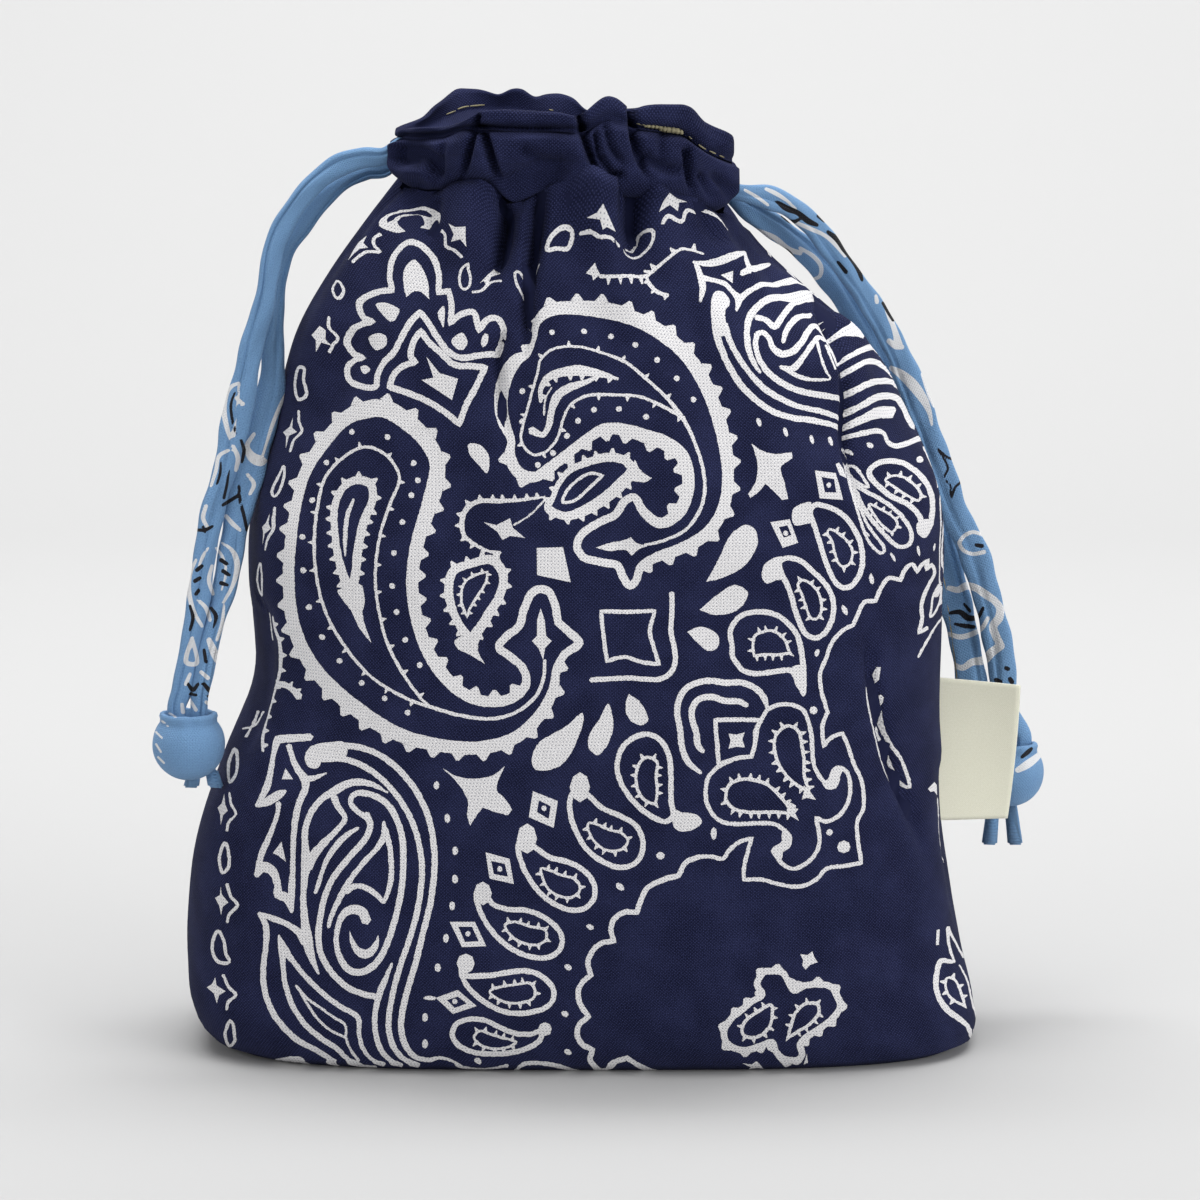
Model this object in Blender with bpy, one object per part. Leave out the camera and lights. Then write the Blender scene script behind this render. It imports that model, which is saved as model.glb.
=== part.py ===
"""A kinchaku drawstring pouch: a boxed cotton bag, two gathered casings and two looped cords.

The left seam is at -X, the right seam at +X and the printed front faces -Y.
The pouch stands on Z = 0 with its origin at the middle of its flat base.
"""
import math

import bmesh
import bpy
from mathutils import Vector

MM = 0.001

# Cloth and clearances
CLOTH = 1.0 * MM
CLEARANCE = 0.3 * MM

# Body
BODY_HEIGHT = 213.5 * MM
BASE_LEFT = 88.0 * MM
BASE_RIGHT = 93.0 * MM
BASE_HALF_DEPTH = 36.0 * MM
BODY_SEGMENTS = 104

# Neck, which the body's rim and both casings follow
NECK_SHIFT = -5.0 * MM
NECK_HALF_WIDTH = 40.0 * MM
NECK_HALF_DEPTH = 24.0 * MM
NECK_SLOPE = 0.085

# Gathers of the body
GATHER_START = 118.0 * MM
GATHER_COUNT = 17
GATHER_DEPTH = 2.2 * MM

# Casings
CORD_DIAMETER = 5.0 * MM
STRAND_GAP = 0.5 * MM
CORD_PLAY = 0.9 * MM
CASING_RIPPLE = 1.9 * MM
CASING_WAVES = 5.5
CASING_END = 20.0
CASING_STATIONS = 30
HEADER_HEIGHT = 9.5 * MM
HEADER_THICKNESS = 2.0 * MM
HEADER_RIPPLE = 2.6 * MM
TUNNEL_SQUARENESS = 0.8
CASING_OUTLINE_ANGLES = (70.0, -250.0)
TUNNEL_OUTLINE_ANGLES = (90.0, -240.0)

# Stopper balls
BALL_RADIUS = 8.8 * MM
CUP_WALL = 1.2 * MM
CUP_PLAY = 0.6 * MM
CUP_DEPTH = 2.6 * MM
CUP_RISE = 0.2 * MM
BALL_SIDES = 16
TAIL_WIDTH = 3.6 * MM
TAIL_THICKNESS = 2.0 * MM
LEFT_BALL = Vector((-98.5, -25.0, 75.0)) * MM
RIGHT_BALL = Vector((105.5, 22.0, 71.5)) * MM
LEFT_TAIL = 3.5 * MM
RIGHT_TAIL = 9.0 * MM

# Side tag
TAG_WIDTH = 20.0 * MM
TAG_HEIGHT = 35.5 * MM
TAG_LOW = 56.0 * MM
TAG_LEAF = 0.4 * MM
TAG_GAP = 0.5 * MM

# What the tunnel takes from the cords in it
TUNNEL_HALF_THICKNESS = CORD_DIAMETER / 2 + CASING_RIPPLE + CORD_PLAY
TUNNEL_HALF_HEIGHT = CORD_DIAMETER + STRAND_GAP / 2 + CORD_PLAY
CASING_HALF_HEIGHT = TUNNEL_HALF_HEIGHT + CLOTH
STRAND_OFFSET = (CORD_DIAMETER + STRAND_GAP) / 2

# Body sections: share of the height, left and right reach, front and back reach, squareness
NECK_LEFT = NECK_HALF_WIDTH - NECK_SHIFT
NECK_RIGHT = NECK_HALF_WIDTH + NECK_SHIFT
BODY_SECTIONS = (
    (0.000, BASE_LEFT, BASE_RIGHT, BASE_HALF_DEPTH, 3.4),
    (0.006, BASE_LEFT + 3.5 * MM, BASE_RIGHT + 3.5 * MM, BASE_HALF_DEPTH + 3.0 * MM, 3.4),
    (0.020, BASE_LEFT + 7.5 * MM, BASE_RIGHT + 5.5 * MM, BASE_HALF_DEPTH + 5.5 * MM, 3.3),
    (0.050, BASE_LEFT + 10.8 * MM, BASE_RIGHT + 5.0 * MM, BASE_HALF_DEPTH + 8.0 * MM, 3.2),
    (0.105, BASE_LEFT + 12.0 * MM, BASE_RIGHT + 2.5 * MM, BASE_HALF_DEPTH + 10.0 * MM, 3.0),
    (0.185, BASE_LEFT + 11.0 * MM, BASE_RIGHT - 0.5 * MM, BASE_HALF_DEPTH + 11.5 * MM, 2.9),
    (0.265, BASE_LEFT + 8.0 * MM, BASE_RIGHT - 3.0 * MM, BASE_HALF_DEPTH + 13.0 * MM, 2.8),
    (0.345, BASE_LEFT + 2.0 * MM, BASE_RIGHT - 4.0 * MM, BASE_HALF_DEPTH + 13.8 * MM, 2.7),
    (0.430, BASE_LEFT - 5.0 * MM, BASE_RIGHT - 4.0 * MM, BASE_HALF_DEPTH + 14.0 * MM, 2.6),
    (0.520, BASE_LEFT - 4.8 * MM, BASE_RIGHT - 3.6 * MM, BASE_HALF_DEPTH + 12.6 * MM, 2.5),
    (0.600, BASE_LEFT - 4.8 * MM, BASE_RIGHT - 3.4 * MM, BASE_HALF_DEPTH + 10.8 * MM, 2.5),
    (0.680, BASE_LEFT - 8.5 * MM, BASE_RIGHT - 6.0 * MM, BASE_HALF_DEPTH + 8.4 * MM, 2.4),
    (0.760, BASE_LEFT - 13.0 * MM, BASE_RIGHT - 13.0 * MM, BASE_HALF_DEPTH + 4.8 * MM, 2.3),
    (0.830, NECK_LEFT + 25.0 * MM, NECK_RIGHT + 37.0 * MM, NECK_HALF_DEPTH + 13.4 * MM, 2.3),
    (0.890, NECK_LEFT + 17.5 * MM, NECK_RIGHT + 23.0 * MM, NECK_HALF_DEPTH + 9.4 * MM, 2.2),
    (0.945, NECK_LEFT + 9.0 * MM, NECK_RIGHT + 9.5 * MM, NECK_HALF_DEPTH + 5.0 * MM, 2.1),
    (1.000, NECK_LEFT, NECK_RIGHT, NECK_HALF_DEPTH, 2.0),
)

# Deep pleats of the body: place round the neck, depth, half width round the neck, reach down
PLEATS = (
    (0.236, 4.2 * MM, 0.0140, 62.0 * MM),
    (0.165, 2.6 * MM, 0.0135, 42.0 * MM),
    (0.305, 2.8 * MM, 0.0135, 46.0 * MM),
    (0.655, 2.8 * MM, 0.0140, 44.0 * MM),
    (0.745, 3.8 * MM, 0.0140, 58.0 * MM),
    (0.840, 2.8 * MM, 0.0140, 44.0 * MM),
)

# Cord routes outside the casings, from the ball to the side opening, in millimetres
LEFT_OUTER_LEG = (
    (-101.3, -25.0, 90.0), (-100.0, -22.5, 104.0), (-97.0, -18.5, 120.0),
    (-94.0, -14.5, 137.0), (-90.6, -10.5, 155.0), (-87.8, -7.5, 172.0),
    (-85.6, -5.5, 188.0), (-82.0, -4.5, 203.0), (-76.0, -4.0, 214.8),
    (-68.0, -3.8, 223.0), (-59.0, -3.5, 227.0),
)
LEFT_INNER_LEG = (
    (-95.2, -25.0, 90.0), (-93.6, -22.0, 104.0), (-91.2, -17.5, 120.0),
    (-88.4, -13.0, 137.0), (-85.2, -8.0, 155.0), (-82.2, -4.0, 172.0),
    (-79.6, -1.0, 187.0), (-76.0, 1.0, 200.0), (-71.0, 2.4, 211.0),
    (-65.0, 3.4, 219.0), (-58.0, 3.6, 224.6),
)
RIGHT_OUTER_LEG = (
    (107.2, 22.0, 91.0), (103.0, 21.5, 107.5), (97.5, 20.5, 122.5),
    (92.0, 19.5, 138.0), (85.4, 18.0, 155.5), (78.4, 12.5, 173.0),
    (71.6, 7.0, 188.0), (64.6, 3.0, 200.0), (56.6, -1.0, 208.8), (49.0, -3.0, 213.6),
)
RIGHT_INNER_LEG = (
    (101.4, 22.8, 91.0), (96.8, 25.0, 107.0), (91.4, 26.5, 122.5),
    (86.0, 27.0, 138.0), (79.0, 26.0, 155.0), (71.5, 21.5, 172.0),
    (65.6, 16.0, 186.5), (59.6, 12.0, 197.5), (53.2, 8.0, 207.0), (47.6, 4.6, 213.2),
)
CORD_STATIONS = 66

NAVY = (0.015, 0.018, 0.075)
BLUE = (0.145, 0.34, 0.60)
CREAM = (0.79, 0.79, 0.62)


def clear_scene():
    for old in list(bpy.data.objects):
        bpy.data.objects.remove(old, do_unlink=True)


def cloth_material(name, colour, roughness):
    material = bpy.data.materials.new(name)
    material.use_nodes = True
    shader = material.node_tree.nodes["Principled BSDF"]
    shader.inputs["Base Color"].default_value = (*colour, 1.0)
    shader.inputs["Roughness"].default_value = roughness
    shader.inputs["Metallic"].default_value = 0.0
    return material


def add_object(name, bm, material, smooth=True):
    """Put a finished bmesh in the scene as one named object."""
    bmesh.ops.recalc_face_normals(bm, faces=bm.faces)
    mesh = bpy.data.meshes.new(name)
    bm.to_mesh(mesh)
    bm.free()
    if smooth:
        mesh.shade_smooth()
    made = bpy.data.objects.new(name, mesh)
    made.data.materials.append(material)
    bpy.context.collection.objects.link(made)
    return made


def smooth_step(value):
    value = min(max(value, 0.0), 1.0)
    return value * value * (3.0 - 2.0 * value)


def spline(points, share):
    """Read a smooth curve through the points at a share of its point count."""
    place = share * (len(points) - 1)
    start = min(int(place), len(points) - 2)
    step = place - start
    before = points[max(start - 1, 0)]
    here = points[start]
    there = points[start + 1]
    after = points[min(start + 2, len(points) - 1)]
    curved = (there - before) * step
    curved = curved + (before * 2 - here * 5 + there * 4 - after) * step ** 2
    curved = curved + (here * 3 - before - there * 3 + after) * step ** 3
    return here + curved * 0.5


def evenly(points, count):
    """Space points evenly by length along a run of points."""
    lengths = [0.0]
    for one, two in zip(points, points[1:]):
        lengths.append(lengths[-1] + (two - one).length)
    found = []
    index = 0
    for number in range(count):
        goal = lengths[-1] * number / (count - 1)
        while index < len(points) - 2 and lengths[index + 1] < goal:
            index += 1
        share = (goal - lengths[index]) / (lengths[index + 1] - lengths[index])
        found.append(points[index].lerp(points[index + 1], min(share, 1.0)))
    return found


# Body

def rim_height(x):
    """Height of the body's rim, which slopes down to the right."""
    return BODY_HEIGHT - NECK_SLOPE * (x - NECK_SHIFT)


def section_half(left, right, reach, squareness, side, count):
    """Half of one level outline, from the left seam to the right one, evenly spaced."""
    middle = (right - left) / 2
    half = (right + left) / 2
    power = 2.0 / squareness
    fine = []
    for step in range(241):
        angle = math.pi * step / 240
        across = math.cos(angle)
        x = middle - math.copysign(half * abs(across) ** power, across)
        y = side * reach * math.sin(angle) ** power
        fine.append(Vector((x, y, 0.0)))
    return evenly(fine, count + 1)


def gather_offset(place, level):
    """How far a body point moves out along the section, from ripples and deep pleats."""
    strength = smooth_step((level - GATHER_START) / (BODY_HEIGHT - GATHER_START)) ** 1.5
    offset = GATHER_DEPTH * strength * math.cos(2 * math.pi * GATHER_COUNT * place)
    for centre, depth, width, reach in PLEATS:
        fall = smooth_step((level - BODY_HEIGHT + reach) / reach)
        offset -= depth * fall * math.exp(-((place - centre) / width) ** 2)
    return offset


def body_ring(share, left, right, reach, squareness):
    """One closed outline of the body with its gathers."""
    level = BODY_HEIGHT * share
    half = BODY_SEGMENTS // 2
    front = section_half(left, right, reach, squareness, -1.0, half)
    back = section_half(left, right, reach, squareness, 1.0, half)
    ring = front + back[-2:0:-1]
    points = []
    for number, point in enumerate(ring):
        ahead = ring[(number + 1) % len(ring)]
        behind = ring[number - 1]
        along = (ahead - behind).normalized()
        outward = Vector((along.y, -along.x, 0.0))
        moved = point + outward * gather_offset(number / len(ring), level)
        tilt = NECK_SLOPE * (moved.x - NECK_SHIFT) * share ** 3
        points.append(Vector((moved.x, moved.y, level - tilt)))
    return points


def make_body(material):
    bm = bmesh.new()
    rings = []
    for section in BODY_SECTIONS:
        rings.append([bm.verts.new(point) for point in body_ring(*section)])
    bm.faces.new(rings[0][::-1])
    for low, high in zip(rings, rings[1:]):
        for number in range(BODY_SEGMENTS):
            after = (number + 1) % BODY_SEGMENTS
            bm.faces.new((low[number], low[after], high[after], high[number]))
    body = add_object("pouch_body", bm, material)
    wall = body.modifiers.new("cloth thickness", "SOLIDIFY")
    wall.thickness = CLOTH
    wall.offset = -1.0
    return body


# Casings

def neck_point(turn, outward, height):
    """A point beside the neck's oval; turn runs 0 left, 0.25 front, 0.5 right, 0.75 back."""
    angle = 2 * math.pi * turn
    x = NECK_SHIFT - NECK_HALF_WIDTH * math.cos(angle)
    y = -NECK_HALF_DEPTH * math.sin(angle)
    normal = Vector((-math.cos(angle) / NECK_HALF_WIDTH, -math.sin(angle) / NECK_HALF_DEPTH, 0.0))
    normal.normalize()
    base = Vector((x, y, rim_height(x) + CLEARANCE + height))
    return base + normal * outward


def oval_outline(half_thickness, half_height, angles, count):
    """Points of a squared oval from one angle to another, as outward and height pairs."""
    start, stop = angles
    points = []
    for number in range(count):
        angle = math.radians(start + (stop - start) * number / (count - 1))
        across = math.cos(angle)
        up = math.sin(angle)
        outward = math.copysign(half_thickness * abs(across) ** TUNNEL_SQUARENESS, across)
        height = CASING_HALF_HEIGHT + math.copysign(half_height * abs(up) ** TUNNEL_SQUARENESS, up)
        points.append((outward, height))
    return points


def casing_outline():
    """The casing's outer outline: the tunnel with the header standing on it."""
    half = HEADER_THICKNESS / 2
    top = 2 * CASING_HALF_HEIGHT
    outline = oval_outline(TUNNEL_HALF_THICKNESS + CLOTH, CASING_HALF_HEIGHT, CASING_OUTLINE_ANGLES, 15)
    for rise in (0.15, 0.6, 1.0):
        outline.append((-half, top + HEADER_HEIGHT * rise))
    for rise in (1.0, 0.6, 0.15):
        outline.append((half, top + HEADER_HEIGHT * rise))
    return outline


def tunnel_outline():
    return oval_outline(TUNNEL_HALF_THICKNESS, TUNNEL_HALF_HEIGHT, TUNNEL_OUTLINE_ANGLES, 12)


def casing_loop(bm, outline, turn, share):
    """One cross-section of a casing, moved in and out by the gathers."""
    fade = smooth_step(min(share, 1.0 - share) / 0.12)
    wave = math.cos(2 * math.pi * CASING_WAVES * share) * fade
    top = 2 * CASING_HALF_HEIGHT
    verts = []
    for outward, height in outline:
        rise = max(height - top, 0.0) / HEADER_HEIGHT
        ripple = (CASING_RIPPLE + HEADER_RIPPLE * rise) * wave
        verts.append(bm.verts.new(neck_point(turn, outward + ripple, height)))
    return verts


def loop_edges(bm, loop):
    return [bm.edges.get((loop[number - 1], loop[number])) for number in range(len(loop))]


def make_casing(name, first_turn, material):
    """A folded band round half the neck, open at both ends of its tunnel."""
    bm = bmesh.new()
    end = CASING_END / 360
    loops = {"outer": [], "inner": []}
    for number in range(CASING_STATIONS):
        share = number / (CASING_STATIONS - 1)
        turn = first_turn + end + (0.5 - 2 * end) * share
        loops["outer"].append(casing_loop(bm, casing_outline(), turn, share))
        loops["inner"].append(casing_loop(bm, tunnel_outline(), turn, share))
    for rows in loops.values():
        for one, two in zip(rows, rows[1:]):
            for number in range(len(one)):
                bm.faces.new((one[number - 1], one[number], two[number], two[number - 1]))
    for station in (0, -1):
        edges = loop_edges(bm, loops["outer"][station]) + loop_edges(bm, loops["inner"][station])
        bmesh.ops.triangle_fill(bm, edges=edges, use_beauty=True)
    return add_object(name, bm, material)


# Cords

def tunnel_run(first_turn, last_turn, height):
    """Points of a strand from one side opening through both tunnels and back to it."""
    points = []
    steps = 20
    for number in range(steps + 1):
        turn = first_turn + (last_turn - first_turn) * number / steps
        points.append(neck_point(turn, 0.0, height))
    return points


def cord_route(outer_leg, inner_leg, ball, side, height):
    """The whole loop of a cord: ball, side opening, round the neck, side opening, ball."""
    half_gap = STRAND_OFFSET
    foot = cup_floor(ball) + CLEARANCE
    outer_foot = Vector((ball.x + side * half_gap, ball.y, foot))
    inner_foot = Vector((ball.x - side * half_gap, ball.y, foot))
    opening = 0.5 if side > 0 else 0.0
    end = CASING_END / 360
    if side > 0:
        run = tunnel_run(opening - end, opening + end - 1.0, height)
    else:
        run = tunnel_run(opening + end, opening + 1.0 - end, height)
    straight = Vector((0.0, 0.0, CUP_DEPTH + 1.5 * MM))
    out = [outer_foot, outer_foot + straight] + [Vector(point) * MM for point in outer_leg]
    back = [Vector(point) * MM for point in reversed(inner_leg)]
    back += [inner_foot + straight, inner_foot]
    return out + run + back


def make_cord(name, route, material):
    """A round cord on an even run of points read from a smooth curve through its route."""
    fine = [spline(route, number / 900) for number in range(901)]
    points = evenly(fine, CORD_STATIONS)
    curve = bpy.data.curves.new(name, "CURVE")
    curve.dimensions = "3D"
    curve.bevel_depth = CORD_DIAMETER / 2
    curve.bevel_resolution = 2
    curve.use_fill_caps = True
    line = curve.splines.new("POLY")
    line.points.add(len(points) - 1)
    for place, point in zip(line.points, points):
        place.co = (*point, 1.0)
    made = bpy.data.objects.new(name, curve)
    made.data.materials.append(material)
    bpy.context.collection.objects.link(made)
    return made


# Stopper balls

def cup_inner_radius():
    """The cup takes two strands side by side."""
    return STRAND_OFFSET + CORD_DIAMETER / 2 + CUP_PLAY


def cup_floor(ball):
    """Height of the cup's floor in a ball."""
    return ball.z + BALL_RADIUS + CUP_RISE - CUP_DEPTH


def make_ball(name, centre, tail_length, material):
    """A turned ball with a rimmed cup, and the cord's two tails under it."""
    inner = cup_inner_radius()
    outer = inner + CUP_WALL
    join = math.asin(outer / BALL_RADIUS)
    floor = cup_floor(centre) - centre.z
    rim = floor + CUP_DEPTH
    profile = []
    steps = 10
    for number in range(steps + 1):
        angle = math.pi + (join - math.pi) * number / steps
        profile.append(Vector((BALL_RADIUS * math.sin(angle), 0.0, BALL_RADIUS * math.cos(angle))))
    profile[0].x = 0.0
    profile.append(Vector((outer, 0.0, rim - 0.3 * MM)))
    profile.append(Vector((outer - 0.4 * MM, 0.0, rim)))
    profile.append(Vector((inner, 0.0, rim - 0.2 * MM)))
    profile.append(Vector((inner, 0.0, floor)))
    profile.append(Vector((0.0, 0.0, floor)))
    bm = bmesh.new()
    verts = [bm.verts.new(point) for point in profile]
    edges = [bm.edges.new(pair) for pair in zip(verts, verts[1:])]
    bmesh.ops.spin(
        bm, geom=verts + edges, cent=(0, 0, 0), axis=(0, 0, 1), dvec=(0, 0, 0),
        angle=2 * math.pi, steps=BALL_SIDES, use_merge=True, use_duplicate=False,
    )
    bmesh.ops.remove_doubles(bm, verts=bm.verts, dist=0.00001)
    ball = add_object(name, bm, material)
    ball.location = centre
    for side in (-1, 1):
        tail = make_tail(name + "_tail", centre, side, tail_length)
        union = ball.modifiers.new("tail", "BOOLEAN")
        union.operation = "UNION"
        union.object = tail
    return ball


def make_tail(name, centre, side, length):
    """A cord tail, as a cutter-like guide that the ball takes in."""
    bm = bmesh.new()
    bmesh.ops.create_cube(bm, size=1.0)
    sunk = 3.0 * MM
    for vert in bm.verts:
        vert.co.x *= TAIL_WIDTH
        vert.co.y *= TAIL_THICKNESS
        vert.co.z *= length + sunk
        vert.co.x += side * (TAIL_WIDTH / 2 + CLEARANCE)
        vert.co.z -= BALL_RADIUS + (length - sunk) / 2
    tail = add_object(name, bm, None, smooth=False)
    tail.location = centre
    tail.hide_render = True
    tail.display_type = "WIRE"
    return tail


# Side tag

def seam_reach(height):
    """How far the right seam stands out at a height."""
    share = height / BODY_HEIGHT
    for low, high in zip(BODY_SECTIONS, BODY_SECTIONS[1:]):
        if low[0] <= share <= high[0]:
            return low[2] + (high[2] - low[2]) * (share - low[0]) / (high[0] - low[0])
    return NECK_RIGHT


def make_tag(material):
    """A label folded in two, its fold outwards and its ends at the seam."""
    half = TAG_LEAF + TAG_GAP / 2
    outline = [(0.0, -half)]
    for number in range(7):
        angle = math.pi * (number / 6 - 0.5)
        outline.append((TAG_WIDTH - half + half * math.cos(angle), half * math.sin(angle)))
    outline.append((0.0, half))
    outline.append((0.0, TAG_GAP / 2))
    for number in range(5):
        angle = math.pi * (0.5 - number / 4)
        across = TAG_GAP / 2 * math.cos(angle)
        outline.append((TAG_WIDTH - half + across, TAG_GAP / 2 * math.sin(angle)))
    outline.append((0.0, -TAG_GAP / 2))
    bm = bmesh.new()
    verts = [bm.verts.new((x, y, 0.0)) for x, y in outline]
    face = bm.faces.new(verts)
    steps = 4
    loops = [face]
    for number in range(steps):
        grown = bmesh.ops.extrude_face_region(bm, geom=[loops[-1]])
        risen = [item for item in grown["geom"] if isinstance(item, bmesh.types.BMVert)]
        bmesh.ops.translate(bm, verts=risen, vec=(0, 0, TAG_HEIGHT / steps))
        loops.append([item for item in grown["geom"] if isinstance(item, bmesh.types.BMFace)][0])
    for face in loops[1:-1]:
        if face.is_valid:
            bm.faces.remove(face)
    for vert in bm.verts:
        height = TAG_LOW + vert.co.z
        vert.co.x += seam_reach(height) + CLEARANCE
        vert.co.z = height
    return add_object("side_tag", bm, material, smooth=False)


def main():
    clear_scene()
    print_cotton = cloth_material("navy printed cotton", NAVY, 0.85)
    navy_cotton = cloth_material("navy cotton", NAVY, 0.85)
    blue_cotton = cloth_material("blue cotton", BLUE, 0.85)
    cream_tape = cloth_material("cream tape", CREAM, 0.8)
    make_body(print_cotton)
    make_casing("front_casing", 0.0, navy_cotton)
    make_casing("back_casing", 0.5, navy_cotton)
    upper = CASING_HALF_HEIGHT + STRAND_OFFSET
    lower = CASING_HALF_HEIGHT - STRAND_OFFSET
    left = cord_route(LEFT_OUTER_LEG, LEFT_INNER_LEG, LEFT_BALL, -1, upper)
    right = cord_route(RIGHT_OUTER_LEG, RIGHT_INNER_LEG, RIGHT_BALL, 1, lower)
    make_cord("left_cord", left, blue_cotton)
    make_cord("right_cord", right, blue_cotton)
    make_ball("left_cord_ball", LEFT_BALL, LEFT_TAIL, blue_cotton)
    make_ball("right_cord_ball", RIGHT_BALL, RIGHT_TAIL, blue_cotton)
    make_tag(cream_tape)


main()
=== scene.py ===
import math

import bmesh
import bpy
import numpy as np
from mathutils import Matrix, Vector
from mathutils.bvhtree import BVHTree
from mathutils.geometry import delaunay_2d_cdt


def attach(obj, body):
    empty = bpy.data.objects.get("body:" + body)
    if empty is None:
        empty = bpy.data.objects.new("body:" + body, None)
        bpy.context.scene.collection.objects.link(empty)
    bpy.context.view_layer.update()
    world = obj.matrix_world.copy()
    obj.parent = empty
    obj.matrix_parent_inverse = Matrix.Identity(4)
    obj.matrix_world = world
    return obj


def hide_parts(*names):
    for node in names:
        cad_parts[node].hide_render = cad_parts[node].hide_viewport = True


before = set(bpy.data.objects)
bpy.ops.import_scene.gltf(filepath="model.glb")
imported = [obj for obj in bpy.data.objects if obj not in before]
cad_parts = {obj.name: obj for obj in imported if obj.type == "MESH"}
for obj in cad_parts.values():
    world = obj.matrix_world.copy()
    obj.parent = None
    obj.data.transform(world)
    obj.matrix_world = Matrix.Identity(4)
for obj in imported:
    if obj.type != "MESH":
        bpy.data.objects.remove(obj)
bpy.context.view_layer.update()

MM = 0.001
RANDOM = np.random.default_rng(7)

# The photograph's camera: its frame is 1200 pixels square, lengths are in millimetres
CAMERA_TILT = math.radians(9.0)
CAMERA_DISTANCE = 950.0
FOCAL_PIXELS = 3800.0
PICTURE_PIXELS = 1200
PICTURE_MIDDLE = PICTURE_PIXELS / 2
AIM = np.array((4.0, 0.0, 111.0))
SIGHT = np.array((0.0, math.cos(CAMERA_TILT), -math.sin(CAMERA_TILT)))
PICTURE_UP = np.array((0.0, math.sin(CAMERA_TILT), math.cos(CAMERA_TILT)))
PICTURE_RIGHT = np.array((1.0, 0.0, 0.0))
EYE = AIM - SIGHT * CAMERA_DISTANCE

# The pouch's cut: one panel is half a side of the bandana
PANEL_WIDTH = 265.0
PANEL_RISE = 225.0
BODY_HEIGHT = 213.5
NECK_SHIFT = -5.0
NECK_HALF_WIDTH = 40.0
NECK_HALF_DEPTH = 24.0
NECK_SLOPE = 0.085
CLOTH = 0.8
SEAT_GAP = 0.3

# Level outlines of the body: share of height, left, right and depth reach, squareness
BODY_SECTIONS = np.array((
    (0.000, 88.0, 93.0, 36.0, 3.4), (0.006, 91.5, 96.5, 39.0, 3.4), (0.020, 95.5, 98.5, 41.5, 3.3),
    (0.050, 98.8, 98.0, 44.0, 3.2), (0.105, 100.0, 95.5, 46.0, 3.0), (0.185, 99.0, 92.5, 47.5, 2.9),
    (0.265, 96.0, 90.0, 49.0, 2.8), (0.345, 90.0, 89.0, 49.8, 2.7), (0.430, 83.0, 89.0, 50.0, 2.6),
    (0.520, 83.2, 89.4, 48.6, 2.5), (0.600, 83.2, 89.6, 46.8, 2.5), (0.680, 79.5, 87.0, 44.4, 2.4),
    (0.760, 75.0, 80.0, 40.8, 2.3), (0.830, 70.0, 72.0, 37.4, 2.3), (0.890, 62.5, 58.0, 33.4, 2.2),
    (0.945, 54.0, 44.5, 29.0, 2.1), (1.000, 45.0, 35.0, 24.0, 2.0),
))


def smooth_step(value):
    value = np.clip(value, 0.0, 1.0)
    return value * value * (3.0 - 2.0 * value)


def unit(rows):
    """Bring each row of an array to a length of one."""
    return rows / np.maximum(np.linalg.norm(rows, axis=-1, keepdims=True), 1e-9)


def running_length(points):
    """The way from the start of a run to each of its points."""
    return np.concatenate(((0.0,), np.cumsum(np.linalg.norm(np.diff(points, axis=0), axis=1))))


def curve_between(t, one, two, leave, arrive, length):
    """A smooth curve from one to two, with the slopes at which it leaves and arrives."""
    place = (2 * t ** 3 - 3 * t ** 2 + 1) * one + (3 * t ** 2 - 2 * t ** 3) * two
    place = place + (t ** 3 - 2 * t ** 2 + t) * length * leave
    return place + (t ** 3 - t ** 2) * length * arrive


def smooth_table(places, values, wanted):
    """Read a table along a smooth curve."""
    slopes = np.gradient(values, places)
    low = np.clip(np.searchsorted(places, wanted) - 1, 0, len(places) - 2)
    width = places[low + 1] - places[low]
    t = (wanted - places[low]) / width
    near = (2 * t ** 3 - 3 * t ** 2 + 1) * values[low] + (t ** 3 - 2 * t ** 2 + t) * width * slopes[low]
    far = (3 * t ** 2 - 2 * t ** 3) * values[low + 1] + (t ** 3 - t ** 2) * width * slopes[low + 1]
    return near + far


def in_picture(points):
    """Pixels of the photograph at which points in millimetres show."""
    away = points - EYE
    depth = away @ SIGHT
    across = PICTURE_MIDDLE + FOCAL_PIXELS * (away @ PICTURE_RIGHT) / depth
    down = PICTURE_MIDDLE - FOCAL_PIXELS * (away @ PICTURE_UP) / depth
    return np.stack((across, down), axis=-1)


def sight_line(pixel):
    """Direction from the camera through a pixel."""
    across = (pixel[0] - PICTURE_MIDDLE) / FOCAL_PIXELS
    down = (pixel[1] - PICTURE_MIDDLE) / FOCAL_PIXELS
    return SIGHT + PICTURE_RIGHT * across - PICTURE_UP * down


def place_at(across, down, depth):
    """The point of the frame that shows at a pixel and lies at a depth along Y."""
    way = sight_line((across, down))
    return EYE + way * ((depth - EYE[1]) / way[1])


# Print, drawn on the plain front panel in the photograph's pixels and painted in order

INK = []


def paint(outline, colour=1):
    """Add one field of colour; its outline is turned so that its area is positive."""
    outline = np.asarray(outline, float)[:, :2]
    outline = outline + RANDOM.uniform(-0.32, 0.32, outline.shape)
    after = np.roll(outline, -1, axis=0)
    if (outline[:, 0] * after[:, 1] - after[:, 0] * outline[:, 1]).sum() < 0:
        outline = outline[::-1]
    INK.append((outline, colour))


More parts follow.
